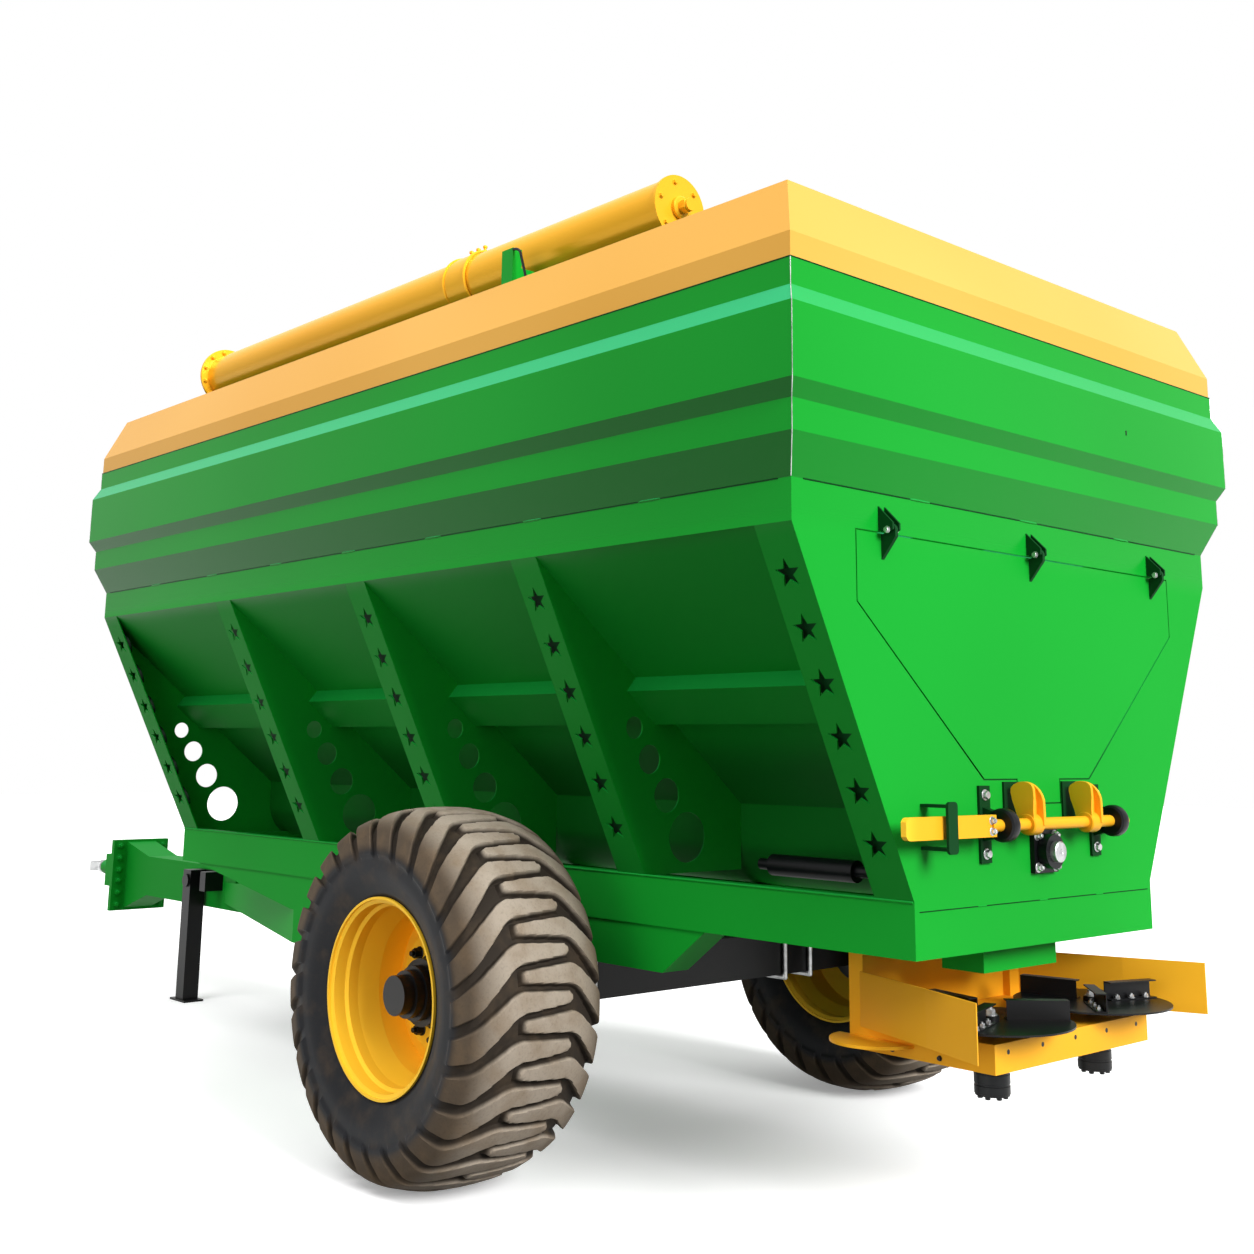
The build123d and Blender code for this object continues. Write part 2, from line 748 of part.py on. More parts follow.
def bar_points(side, index):
    """Corner points of one tread bar as rows of (top rear, top front, root rear, root front)."""
    turn = pi * (2 * index + (side < 0)) / LUG_COUNT
    rows = []
    for row in (*LUG_ROWS[:-1], middle_row(), LUG_ROWS[-1]):
        top, y = section_point(row.rise, side * row.width)
        root, root_y = section_point(row.root_rise, side * row.root_width)
        rear = turn + row.rear / TYRE_RADIUS
        front = turn + row.front / TYRE_RADIUS
        top_points = (around(top, y, rear), around(top, y, front))
        rows.append((*top_points, around(root, root_y, rear), around(root, root_y, front)))
    return rows


def bar_faces(rows):
    """Triangles of one bar's top, flanks and ends, its root's edge split where it crosses the middle."""
    first, second, third, middle, last = rows
    faces = []
    for near, far in ((first, second), (second, third), (third, last)):
        faces += [[near[0], near[1], far[1]], [near[0], far[1], far[0]]]
    for top, root in ((0, 2), (1, 3)):
        for near, far in ((first, second), (second, third)):
            faces += [[near[top], near[root], far[root]], [near[top], far[root], far[top]]]
        faces.append([third[top], third[root], middle[root]])
        faces.append([third[top], middle[root], last[top]])
        faces.append([last[top], middle[root], last[root]])
    for end in (first, last):
        faces += [[end[0], end[1], end[3]], [end[0], end[3], end[2]]]
    return faces


def groove_faces(bar, following, between):
    """Triangles of the groove floor from one bar to the next round the tip of the bar between them."""
    fronts = [row[3] for row in bar]
    rears = [row[2] for row in following]
    faces = []
    for low, high in ((0, 1), (1, 2)):
        faces += [[fronts[low], fronts[high], rears[high]], [fronts[low], rears[high], rears[low]]]
    tip_rear, tip_front = between[-1][2:]
    cross_rear, cross_front = between[-2][2:]
    faces.append([fronts[2], fronts[3], tip_rear])
    faces.append([fronts[3], cross_rear, tip_rear])
    faces.append([fronts[2], tip_rear, tip_front])
    faces.append([fronts[2], tip_front, rears[2]])
    faces.append([tip_front, cross_front, rears[3]])
    faces.append([tip_front, rears[3], rears[2]])
    return faces


def band_faces(first, second):
    """Triangles between two rings of as many corners."""
    faces = []
    for index, corner in enumerate(first):
        after = (index + 1) % len(first)
        faces += [[corner, first[after], second[index]], [first[after], second[after], second[index]]]
    return faces


def tyre():
    """Tyre of flat facets about the Y axis, its tread bars from both shoulders meeting over the middle."""
    bead = BEAD_TOP / cos(pi / LUG_COUNT)
    bars = {side: [bar_points(side, index) for index in range(LUG_COUNT)] for side in (1, -1)}
    side_points = [section_point(*point) for point in SIDE_LINE]
    lining_points = [section_point(*point) for point in LINING_LINE]
    line = [*side_points, (bead, BEAD_OUT), (bead, BEAD_IN), *lining_points[:-1]]
    start = LUG_ROWS[0].front / TYRE_RADIUS
    steps = [2 * pi * index / LUG_COUNT for index in range(LUG_COUNT)]
    crown = [around(*lining_points[-1], start + step) for step in steps]
    faces = []
    for side, row in bars.items():
        turn = start + (side < 0) * pi / LUG_COUNT
        rings = [[around(radius, side * y, turn + step) for step in steps] for radius, y in line]
        for index, bar in enumerate(row):
            after = (index + 1) % LUG_COUNT
            between = bars[-side][index if side > 0 else after]
            faces += bar_faces(bar)
            faces += groove_faces(bar, row[after], between)
            foot = rings[0][index]
            faces.append([bar[0][2], bar[0][3], foot])
            faces.append([bar[0][3], row[after][0][2], foot])
            faces.append([row[after][0][2], rings[0][after], foot])
        for first, second in zip(rings, rings[1:]):
            faces += band_faces(first, second)
        faces += band_faces(rings[-1], crown)
    foot_turn = 180 - degrees(LUG_ROWS[-1].front / TYRE_RADIUS)
    return Part() + Rot(0, foot_turn, 0) * flat_faces(faces)


def wheel_rim():
    """Rim barrel with its disc, about the Y axis with the outside along +Y."""
    edge = RIM_HALF - RIM_LIP
    seat = edge - FLANGE_LEAN
    barrel = [
        (RIM_RADIUS, -RIM_HALF),
        (RIM_RADIUS, -edge),
        (BEAD_RADIUS, -seat),
        (BEAD_RADIUS, SEAT_WIDTH - seat),
        (WELL_RADIUS, WELL_INSIDE),
        (WELL_RADIUS, WELL_OUTSIDE),
        (BEAD_RADIUS - HUMP_DROP, HUMP_INSIDE),
        (BEAD_RADIUS - HUMP_DROP, HUMP_OUTSIDE),
        (BEAD_RADIUS, seat - SEAT_WIDTH),
        (BEAD_RADIUS, seat),
        (RIM_RADIUS, edge),
        (RIM_RADIUS, RIM_HALF),
    ]
    inner = [(radius - RIM_SHEET, y) for radius, y in barrel]
    shape = turned_y(barrel + inner[::-1])
    rim = WELL_RADIUS - RIM_SHEET / 2
    flat = HUB_PILOT + DISC_FLAT
    disc = [
        (HUB_PILOT + CURVE_GAP, DISC_FACE),
        (flat, DISC_FACE),
        (rim, DISC_FACE - DISC_CONE),
        (rim, DISC_FACE - DISC_CONE + DISC_SHEET),
        (flat, DISC_FACE + DISC_SHEET),
        (HUB_PILOT + CURVE_GAP, DISC_FACE + DISC_SHEET),
    ]
    return shape + turned_y(disc)


def hub():
    """Stepped hub and cap about the Y axis, bored for the spindle."""
    bore = SPINDLE_RADIUS + PIN_GAP
    outline = [(bore, HUB_START)]
    height = HUB_START
    for turn in HUB_TURNS:
        outline.append((turn.radius, height))
        outline.append((turn.radius, turn.end))
        height = turn.end
    outline += [(0, height), (0, HUB_BORE_END), (bore, HUB_BORE_END)]
    return Pos(0, DISC_FACE, 0) * turned_y(outline)


def build_wheels():
    """Tyre, rim and hub of each wheel."""
    place = Pos(AXLE_X, HALF_TRACK, TYRE_RADIUS)
    for label, shape in (("tyre", tyre()), ("wheel_rim", wheel_rim()), ("hub", hub())):
        left = place * shape
        save(f"{label}_left", left)
        save(f"{label}_right", other_side(left))


def build_drawbar():
    """Drawbar, its head, the struts and saddles to the chassis, and the hitch."""
    beam = block(DRAWBAR_START, HEAD_START, -DRAWBAR_HALF, DRAWBAR_HALF, DRAWBAR_BOTTOM, DRAWBAR_TOP)
    save("drawbar", beam)
    head_line = [
        (HEAD_START, DRAWBAR_BOTTOM),
        (HEAD_END, HEAD_BOTTOM),
        (HEAD_END, HEAD_TOP),
        (HEAD_START, DRAWBAR_TOP),
    ]
    head = slab_xz(head_line, -DRAWBAR_HALF, DRAWBAR_HALF)
    plate_end = HEAD_END + FLANGE_PLATE
    head += block(HEAD_END, plate_end, -FLANGE_HALF, FLANGE_HALF, FLANGE_BOTTOM, FLANGE_TOP)
    save("drawbar_head", head)
    nose = block(plate_end, FLANGE_END, -FLANGE_HALF, FLANGE_HALF, FLANGE_BOTTOM, FLANGE_TOP)
    low = EYE_Z - NOSE_HEIGHT / 2
    high = EYE_Z + NOSE_HEIGHT / 2
    nose += block(FLANGE_END, NOSE_END, -NOSE_HALF, NOSE_HALF, low, high)
    save("hitch_block", nose)
    half = EYE_HEIGHT / 2
    ring_low = (EYE_X, 0, EYE_Z - half)
    ring_high = (EYE_X, 0, EYE_Z + half)
    eye = Part() + rod((NOSE_END, 0, EYE_Z), (EYE_X - EYE_BORE - SHEET, 0, EYE_Z), SHANK_RADIUS)
    eye += rod(ring_low, ring_high, EYE_RADIUS)
    eye -= rod((EYE_X, 0, EYE_Z - EYE_RADIUS), (EYE_X, 0, EYE_Z + EYE_RADIUS), EYE_BORE)
    save("tow_eye", eye)
    strut = [
        (STRUT_FRONT, DRAWBAR_HALF),
        (STRUT_FRONT - 2 * STRUT_WIDTH, DRAWBAR_HALF),
        (STRUT_REAR, CHASSIS_IN),
        (STRUT_REAR, CHASSIS_OUT),
        (STRUT_REAR + STRUT_WIDTH, CHASSIS_OUT),
    ]
    save("drawbar_struts", *both_sides(slab_xy(strut, STRUT_BOTTOM, AXLE_TOP)))
    saddles = [
        block(x0, x0 + SADDLE_DEPTH, -CHASSIS_IN, CHASSIS_IN, DRAWBAR_TOP, FRAME_BOTTOM)
        for x0 in SADDLE_XS
    ]
    save("drawbar_saddles", *saddles)


def build_stand():
    """Parking stand on a pivot pin at the left of the drawbar."""
    half = STAND_SQUARE / 2
    inside = STAND_Y - half
    outside = STAND_Y + half
    leg = block(STAND_X - half, STAND_X + half, inside, outside, FOOT_PLATE, STAND_TOP)
    foot_half = FOOT_LENGTH / 2
    foot_side = FOOT_WIDTH / 2
    leg += block(
        STAND_X - foot_half,
        STAND_X + foot_half,
        STAND_Y - foot_side,
        STAND_Y + foot_side,
        0,
        FOOT_PLATE,
    )
    pin_start = (STAND_X, DRAWBAR_HALF, STAND_PIVOT_Z)
    pin_end = (STAND_X, outside + 2 * STAND_CLEAR, STAND_PIVOT_Z)
    leg -= rod(pin_start, pin_end, STAND_PIN_RADIUS + PIN_GAP)
    save("stand", leg)
    plate_end = DRAWBAR_HALF + MOUNT_PLATE
    rear = STAND_X - half - 2 * STAND_SQUARE
    front = STAND_X + half
    mount = block(rear, front, DRAWBAR_HALF, plate_end, STAND_PIVOT_Z - half, STAND_TOP)
    mount += block(rear, rear + STAND_BLOCK, plate_end, outside, STAND_PIVOT_Z - half, STAND_TOP)
    mount += rod(pin_start, pin_end, STAND_PIN_RADIUS)
    cap_start = (STAND_X, outside + STAND_CLEAR, STAND_PIVOT_Z)
    mount += rod(cap_start, pin_end, 2 * STAND_PIN_RADIUS)
    save("stand_mount", mount)


def hinge_pair(y):
    """Fixed cheeks and pin of one hatch hinge."""
    inside = HINGE_LUG / 2 + HINGE_CHEEK_GAP
    outline = [
        (0, HINGE_TOP),
        (0, HATCH_TOP + 2 * HATCH_GAP),
        (HINGE_X, HINGE_Z - HINGE_EYE_RADIUS / 2),
        (HINGE_X - HINGE_EYE_RADIUS, HINGE_Z),
        (HINGE_X - HINGE_EYE_RADIUS, HINGE_Z + HINGE_EYE_RADIUS),
    ]
    outer = inside + HINGE_CHEEK
    shape = Part() + rod((HINGE_X, y - outer, HINGE_Z), (HINGE_X, y + outer, HINGE_Z), HINGE_PIN_RADIUS)
    shape += slab_xz(outline, y + inside, y + outer)
    shape += slab_xz(outline, y - outer, y - inside)
    return shape


def hinge_lug(y):
    """Moving lug of one hatch hinge."""
    half = HINGE_LUG / 2
    outline = [
        (0, HINGE_LUG_FOOT),
        (0, HATCH_TOP - HATCH_GAP),
        (HINGE_X, HINGE_Z),
        (HINGE_X - HINGE_EYE_RADIUS, HINGE_Z),
        (HINGE_X - HINGE_EYE_RADIUS, HINGE_Z - HINGE_EYE_RADIUS),
    ]
    shape = slab_xz(outline, y - half, y + half)
    start = (HINGE_X, y - half, HINGE_Z)
    stop = (HINGE_X, y + half, HINGE_Z)
    shape += rod(start, stop, HINGE_EYE_RADIUS)
    return shape - rod(start, stop, HINGE_PIN_RADIUS + PIN_GAP)


def lock_hook(y):
    """Two-plate hook on the lock shaft."""
    half = HOOK_WIDTH / 2
    outline = [
        (LOCK_X - HOOK_EYE, LOCK_Z),
        (LOCK_X - HOOK_EYE, HOOK_TOP - HOOK_ARM),
        (LOCK_X, HOOK_TOP),
        (-PAD_SHEET - HOOK_NOSE, HOOK_TOP),
        (-PAD_SHEET - HOOK_NOSE, HOOK_TOP - HOOK_ARM / 2),
        (LOCK_X + HOOK_NOSE, HOOK_TOP - HOOK_ARM),
        (LOCK_X + HOOK_NOSE, LOCK_Z),
    ]
    shape = slab_xz(outline, y - half, y + half)
    shape += rod((LOCK_X, y - half, LOCK_Z), (LOCK_X, y + half, LOCK_Z), HOOK_EYE)
    slot = HOOK_SLOT / 2
    high = HOOK_TOP - HOOK_ARM / 2
    return shape - block(LOCK_X - 2 * HOOK_EYE, LOCK_X, y - slot, y + slot, LOCK_Z, high)


def build_rear():
    """Hatch, its hinges, the lock across its foot and the shaft bearings."""
    save("hatch", slab_yz(hatch_outline(0), 0, END_PLATE))
    save("hatch_lugs", *(hinge_lug(y) for y in HINGE_YS))
    save("hatch_hinges", *(hinge_pair(y) for y in HINGE_YS))
    bar = Part() + rod((LOCK_X, -LOCK_END, LOCK_Z), (LOCK_X, LOCK_END, LOCK_Z), LOCK_RADIUS)
    for y in (-HOOK_Y, HOOK_Y):
        bar += lock_hook(y)
    lever_half = LEVER_SHEET / 2
    lever_low = LOCK_Z - LEVER_HEIGHT / 2
    bar += block(
        LOCK_X - lever_half,
        LOCK_X + lever_half,
        LEVER_START,
        LEVER_END,
        lever_low,
        lever_low + LEVER_HEIGHT,
    )
    save("lock_bar", bar)
    pad = block(-PAD_SHEET, 0, HOOK_Y - PAD_HALF, HOOK_Y + PAD_HALF, PAD_BOTTOM, TONGUE_TOP - 2 * HATCH_GAP)
    save("lock_pads", *both_sides(pad))
    low = LOCK_Z - CLAMP_STRIP_DROP
    high = LOCK_Z + CLAMP_STRIP_DROP
    strip_start = CLAMP_Y - CLAMP_STRIP_HALF
    strip = block(LOCK_X + CLAMP_RADIUS / 2, 0, strip_start, strip_start + 2 * CLAMP_STRIP_HALF, low, high)
    clamp_half = CLAMP_WIDTH / 2
    clamp_start = (LOCK_X, CLAMP_Y - clamp_half, LOCK_Z)
    clamp_end = (LOCK_X, CLAMP_Y + clamp_half, LOCK_Z)
    strip += rod(clamp_start, clamp_end, CLAMP_RADIUS)
    strip -= rod(
        (LOCK_X, strip_start, LOCK_Z),
        (LOCK_X, strip_start + 2 * CLAMP_STRIP_HALF, LOCK_Z),
        LOCK_RADIUS + CURVE_GAP,
    )
    keeper_out = LOCK_X - lever_half - KEEPER_GAP
    keeper_low = LOCK_Z - KEEPER_HEIGHT / 2
    keeper = block(
        keeper_out - KEEPER_SHEET,
        0,
        KEEPER_Y - KEEPER_HALF,
        KEEPER_Y + KEEPER_HALF,
        keeper_low,
        keeper_low + KEEPER_HEIGHT,
    )
    keeper -= block(
        keeper_out,
        0,
        KEEPER_Y - KEEPER_HALF,
        KEEPER_Y + KEEPER_HALF,
        lever_low,
        lever_low + LEVER_HEIGHT,
    )
    save("lock_brackets", *both_sides(strip), keeper)
    bearings = []
    for face, way in ((0, -1), (BODY_LENGTH, 1)):
        plate_end = face + way * BEARING_PLATE
        boss_end = face + way * BEARING_BOSS
        flange = block(
            min(face, plate_end),
            max(face, plate_end),
            -BEARING_HALF,
            BEARING_HALF,
            SCREW_Z - BEARING_HALF,
            SCREW_Z + BEARING_HALF,
        )
        flange += rod((face, 0, SCREW_Z), (boss_end, 0, SCREW_Z), BEARING_BOSS_RADIUS)
        flange -= rod((face, 0, SCREW_Z), (boss_end, 0, SCREW_Z), SCREW_SHAFT_RADIUS + PIN_GAP)
        bearings.append(flange)
    save("shaft_bearings", *bearings)


def flight_ring(step):
    """Four corner points of the screw flight's section after a number of steps."""
    angle = 2 * pi * step / SCREW_STEPS
    x = SCREW_START + SCREW_PITCH * step / SCREW_STEPS
    corners = (
        (SCREW_CORE, 0),
        (SCREW_RADIUS, 0),
        (SCREW_RADIUS, SCREW_FLIGHT),
        (SCREW_CORE, SCREW_FLIGHT),
    )
    return [
        (x + shift, radius * cos(angle), SCREW_Z + radius * sin(angle)) for radius, shift in corners
    ]


def build_screw():
    """Conveyor screw along the trough: a flat-sided flight on a round shaft."""
    shaft_start = (-SCREW_STUB, 0, SCREW_Z)
    shaft_end = (BODY_LENGTH + SCREW_STUB, 0, SCREW_Z)
    shaft = Part() + rod(shaft_start, shaft_end, SCREW_SHAFT_RADIUS)
    steps = int((SCREW_END - SCREW_START - SCREW_FLIGHT) * SCREW_STEPS / SCREW_PITCH)
    rings = [flight_ring(step) for step in range(steps + 1)]
    polygons = [rings[0], rings[-1]]
    for ring, following in zip(rings, rings[1:]):
        for corner in range(len(ring)):
            after = (corner + 1) % len(ring)
            polygons.append([ring[corner], ring[after], following[after]])
            polygons.append([ring[corner], following[after], following[corner]])
    flight = flat_faces(polygons)
    save("screw", shaft + flight)


def spinner(y):
    """Spreading disc with its vanes and drive shaft."""
    top = SPINNER_Z + SPINNER_SHEET
    shape = Part() + rod((0, 0, SPINNER_Z), (0, 0, top), SPINNER_RADIUS)
    shape += rod((0, 0, SPINNER_Z - SPINNER_SHAFT_DROP), (0, 0, SPINNER_Z), SPINNER_SHAFT)
    shape += rod((0, 0, top), (0, 0, top + SPINNER_HUB_HEIGHT), SPINNER_HUB)
    web = block(VANE_INNER, VANE_OUTER, 0, VANE_SHEET, top, top + VANE_HEIGHT)
    lip_low = top + VANE_HEIGHT - VANE_SHEET
    web += block(VANE_INNER, VANE_OUTER, 0, VANE_LIP, lip_low, top + VANE_HEIGHT)
    web += block(VANE_INNER, VANE_OUTER, 0, VANE_LIP, top, top + VANE_SHEET)
    for index in range(VANE_COUNT):
        shape += Rot(0, 0, VANE_TURN + 360 * index / VANE_COUNT) * web
    left = Pos(SPINNER_X, SPINNER_Y, 0) * shape
    return left if y > 0 else other_side(left)


def guard():
    """Bent guard plate at the left of the discs."""
    outer = [(kink.x, UNIT_HALF + kink.out + GUARD_SHEET) for kink in GUARD_LINE]
    inner = [(kink.x, UNIT_HALF + kink.out) for kink in GUARD_LINE]
    return slab_xy(outer + inner[::-1], GUARD_BOTTOM, GUARD_TOP)


def build_unit():
    """Spreading unit: frame, posts, back plate, guards, discs and motors."""
    inside = UNIT_HALF - UNIT_BEAM
    rear_end = UNIT_REAR + UNIT_BEAM
    post_end = POST_START + UNIT_BEAM
    rear = block(UNIT_REAR, rear_end, -UNIT_HALF, UNIT_HALF, UNIT_BOTTOM, UNIT_TOP)
    front = block(POST_START, post_end, -inside, inside, UNIT_BOTTOM, UNIT_TOP)
    side = block(rear_end, post_end, inside, UNIT_HALF, UNIT_BOTTOM, UNIT_TOP)
    save("unit_cross_rails", rear, front)
    save("unit_side_rails", *both_sides(side))
    post = block(POST_START, post_end, inside, UNIT_HALF, UNIT_TOP, FRAME_BOTTOM)
    save("unit_posts", *both_sides(post))
    back_start = (POST_START + post_end) / 2
    save("back_plate", block(back_start, back_start + BACK_SHEET, -inside, inside, UNIT_TOP, BACK_TOP))
    tray = block(rear_end, POST_START, -inside, inside, UNIT_TOP - TRAY_SHEET, UNIT_TOP)
    hole_start = (SPINNER_X, SPINNER_Y, UNIT_BOTTOM)
    hole_stop = (SPINNER_X, SPINNER_Y, UNIT_TOP)
    tray_hole = rod(hole_start, hole_stop, 2 * SPINNER_SHAFT)
    tray -= tray_hole
    tray -= other_side(tray_hole)
    save("disc_tray", tray)
    fin = rod((FIN_X, UNIT_HALF, FIN_Z), (FIN_X, UNIT_HALF, FIN_Z + FIN_SHEET), FIN_RADIUS)
    fin -= block(0, 2 * post_end, 0, UNIT_HALF, FIN_Z, FIN_Z + FIN_SHEET)
    save("guards", *both_sides(guard()), *both_sides(fin))
    motor_foot = (SPINNER_X, SPINNER_Y, MOTOR_BOTTOM)
    motor_top = (SPINNER_X, SPINNER_Y, UNIT_TOP - TRAY_SHEET)
    shaft_foot = (SPINNER_X, SPINNER_Y, SPINNER_Z - SPINNER_SHAFT_DROP - SHEET)
    motor = Part() + rod(motor_foot, motor_top, MOTOR_RADIUS)
    motor -= rod(shaft_foot, motor_top, SPINNER_SHAFT + PIN_GAP)
    save("disc_motors", *both_sides(motor))
    save("disc_left", spinner(SPINNER_Y))
    save("disc_right", spinner(-SPINNER_Y))


def build_outlet():
    """Chute below the trough and the gate cylinder beside it."""
    chute = block(CHUTE_START, CHUTE_END, -CHUTE_HALF, CHUTE_HALF, CHUTE_BOTTOM, CHUTE_TOP)
    chute -= block(
        CHUTE_START + SHEET,
        CHUTE_END - SHEET,
        -CHUTE_HALF + SHEET,
        CHUTE_HALF - SHEET,
        CHUTE_BOTTOM,
        CHUTE_TOP,
    )
    chute -= rod((0, 0, SCREW_Z), (2 * CHUTE_END, 0, SCREW_Z), TROUGH_HALF + CURVE_GAP)
    save("chute", chute)
    rod_end = (END_PLATE, CYLINDER_Y, CYLINDER_Z)
    barrel_start = (CYLINDER_START, CYLINDER_Y, CYLINDER_Z)
    barrel_end = (CYLINDER_END, CYLINDER_Y, CYLINDER_Z)
    eye_end = (CYLINDER_END + CYLINDER_EYE, CYLINDER_Y, CYLINDER_Z)
    ram = Part() + rod(rod_end, barrel_start, CYLINDER_ROD)
    ram += rod(barrel_start, barrel_end, CYLINDER_RADIUS)
    ram += rod(barrel_end, eye_end, CYLINDER_ROD)
    save("gate_cylinder", ram)


def fold_plane():
    """Local frame at the fold hinge: Y along the pin, Z along the leg."""
    lean = AUGER_LEAN * pi / 180
    out = sin(lean) * FOLD_OFFSET
    drop = cos(lean) * FOLD_OFFSET
    return Pos(AUGER_FRONT, AUGER_Y - out, AUGER_Z - drop) * Rot(-AUGER_LEAN, 0, 0)


def fold_lug(way, y0, y1):
    """Hinge lug beside a flange, on the side of the flange plane given by way."""
    clear = way * (FLANGE_HALF_GAP + FLANGE_SHEET)
    edge = FOLD_OFFSET - FLANGE_RADIUS
    outline = [
        (-FOLD_EYE / 2, way * FOLD_EYE / 2),
        (0, way * FOLD_LUG_DEPTH),
        (FOLD_LUG_REACH, way * FOLD_LUG_DEPTH),
        (FOLD_LUG_REACH, clear),
        (edge, clear),
        (FOLD_EYE, 0),
    ]
    shape = slab_xz(outline, y0, y1)
    return shape + rod((0, y0, 0), (0, y1, 0), FOLD_EYE)


def build_auger():
    """Folding auger tube, its lower leg, braces and cradle."""
    place = fold_plane()
    lug = FOLD_LUG / 2
    cheek_in = lug + FOLD_CHEEK_GAP
    cheek_out = cheek_in + FOLD_CHEEK
    low = FLANGE_HALF_GAP
    high = FLANGE_HALF_GAP + FLANGE_SHEET
    length = AUGER_FRONT - AUGER_REAR
    band_low = AUGER_FRONT - BAND_X
    tube = Part() + rod((FOLD_OFFSET, 0, low), (FOLD_OFFSET, 0, length), AUGER_RADIUS)
    tube += rod((FOLD_OFFSET, 0, low), (FOLD_OFFSET, 0, high), FLANGE_RADIUS)
    tube += rod(
        (FOLD_OFFSET, 0, band_low),
        (FOLD_OFFSET, 0, band_low + BAND_WIDTH),
        AUGER_RADIUS + BAND_THICK,
    )
    tube -= rod((FOLD_OFFSET, 0, 0), (FOLD_OFFSET, 0, length), AUGER_RADIUS - AUGER_SHEET)
    tube += rod((FOLD_OFFSET, 0, length), (FOLD_OFFSET, 0, length + CAP_SHEET), CAP_RADIUS)
    stub_end = length + CAP_SHEET + CAP_STUB
    tube += rod((FOLD_OFFSET, 0, length), (FOLD_OFFSET, 0, stub_end), CAP_STUB_RADIUS)
    tube += fold_lug(1, -lug, lug)
    tube -= rod((0, -lug, 0), (0, lug, 0), FOLD_PIN + PIN_GAP)
    tube -= rod((FOLD_OFFSET, 0, 0), (FOLD_OFFSET, 0, length), AUGER_RADIUS - AUGER_SHEET)
    save("auger_tube", place * (Rot(0, -90, 0) * tube))
    lean = AUGER_LEAN * pi / 180
    top_z = AUGER_Z - cos(lean) * FOLD_OFFSET
    leg_length = (top_z - LEG_FOOT_Z) / cos(lean)
    leg = Part() + rod((FOLD_OFFSET, 0, -low), (FOLD_OFFSET, 0, -leg_length), AUGER_RADIUS)
    leg += rod((FOLD_OFFSET, 0, -low), (FOLD_OFFSET, 0, -high), FLANGE_RADIUS)
    for y0, y1 in ((cheek_in, cheek_out), (-cheek_out, -cheek_in)):
        leg += fold_lug(-1, y0, y1)
    leg += rod((0, -cheek_out, 0), (0, cheek_out, 0), FOLD_PIN)
    leg -= rod((FOLD_OFFSET, 0, 0), (FOLD_OFFSET, 0, -leg_length), AUGER_RADIUS - AUGER_SHEET)
    save("auger_leg", place * leg)
    sleeve = place * rod(
        (FOLD_OFFSET, 0, 0),
        (FOLD_OFFSET, 0, -leg_length),
        AUGER_RADIUS + CURVE_GAP,
    )
    top_y = AUGER_Y - sin(lean) * FOLD_OFFSET
    braces = []
    half = BRACE_SQUARE / 2
    for z in BRACE_ZS:
        y = top_y - (top_z - z) * sin(lean) / cos(lean)
        start = AUGER_FRONT + FOLD_OFFSET
        bar = block(start, BODY_LENGTH - END_PLATE, y - half, y + half, z - half, z + half)
        braces.append(bar - sleeve)
    save("leg_braces", *braces)
    rim_in = WAIST_HALF + RIM_OUT - SHEET
    rise = RIM_STEPS[-1].rise
    base = RIM_TOP - rise
    rim_foot = rim_in - (CRADLE_FOOT - base) * (RIM_OUT - RIM_TOP_OUT) / rise
    arm_top = AUGER_Z - AUGER_RADIUS - CRADLE_CLEAR
    post = [
        (rim_foot, CRADLE_FOOT),
        (WAIST_HALF + RIM_TOP_OUT - SHEET, RIM_TOP),
        (WAIST_HALF + RIM_TOP_OUT - SHEET, CRADLE_TOP),
        (CRADLE_POST_IN, CRADLE_TOP),
        (CRADLE_POST_IN, arm_top),
        (CRADLE_ARM_END, arm_top),
        (CRADLE_ARM_END, arm_top - CRADLE_ARM_DEPTH),
        (CRADLE_POST_IN, arm_top - CRADLE_ARM_DEPTH),
        (CRADLE_POST_IN, CRADLE_FOOT),
    ]
    save("auger_cradle", slab_yz(post, CRADLE_X, CRADLE_X + CRADLE_WIDTH))


def main():
    """Build every node and write it under parts."""
    os.makedirs("parts", exist_ok=True)
    build_walls()
    build_ends()
    build_ribs()
    build_frame()
    build_axle()
    build_wheels()
    build_drawbar()
    build_stand()
    build_rear()
    build_screw()
    build_unit()
    build_outlet()
    build_auger()
    print(len(NODES), "nodes,", sum(NODES.values()), "solids, middle at", X_MIDDLE)


if __name__ == "__main__":
    main()
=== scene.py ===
"""Trailed fertilizer spreader: finishes, fittings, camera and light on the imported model."""

import json
import logging
import math
from dataclasses import dataclass
from enum import Enum

import bpy
import numpy as np
from mathutils import Matrix, Vector


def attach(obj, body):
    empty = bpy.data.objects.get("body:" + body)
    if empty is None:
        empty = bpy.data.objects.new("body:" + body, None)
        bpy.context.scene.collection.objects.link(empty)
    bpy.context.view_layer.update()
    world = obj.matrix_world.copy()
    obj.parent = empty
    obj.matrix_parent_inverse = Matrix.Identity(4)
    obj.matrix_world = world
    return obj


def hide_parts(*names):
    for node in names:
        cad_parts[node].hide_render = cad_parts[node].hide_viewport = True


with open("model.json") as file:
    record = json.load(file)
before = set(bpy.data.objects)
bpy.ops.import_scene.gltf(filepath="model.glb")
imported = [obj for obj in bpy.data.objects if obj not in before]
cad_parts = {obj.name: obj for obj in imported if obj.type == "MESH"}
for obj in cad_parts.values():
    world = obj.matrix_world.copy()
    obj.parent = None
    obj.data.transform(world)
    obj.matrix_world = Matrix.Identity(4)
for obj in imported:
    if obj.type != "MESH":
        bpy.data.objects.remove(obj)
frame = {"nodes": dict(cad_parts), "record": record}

log = logging.getLogger("spreader")

MM = 0.001
X_MIDDLE = 3840.0
WHITE = "#FFFFFF"

Point = tuple[float, float, float]
Range = tuple[float, float]
Line = tuple[tuple[float, float], ...]

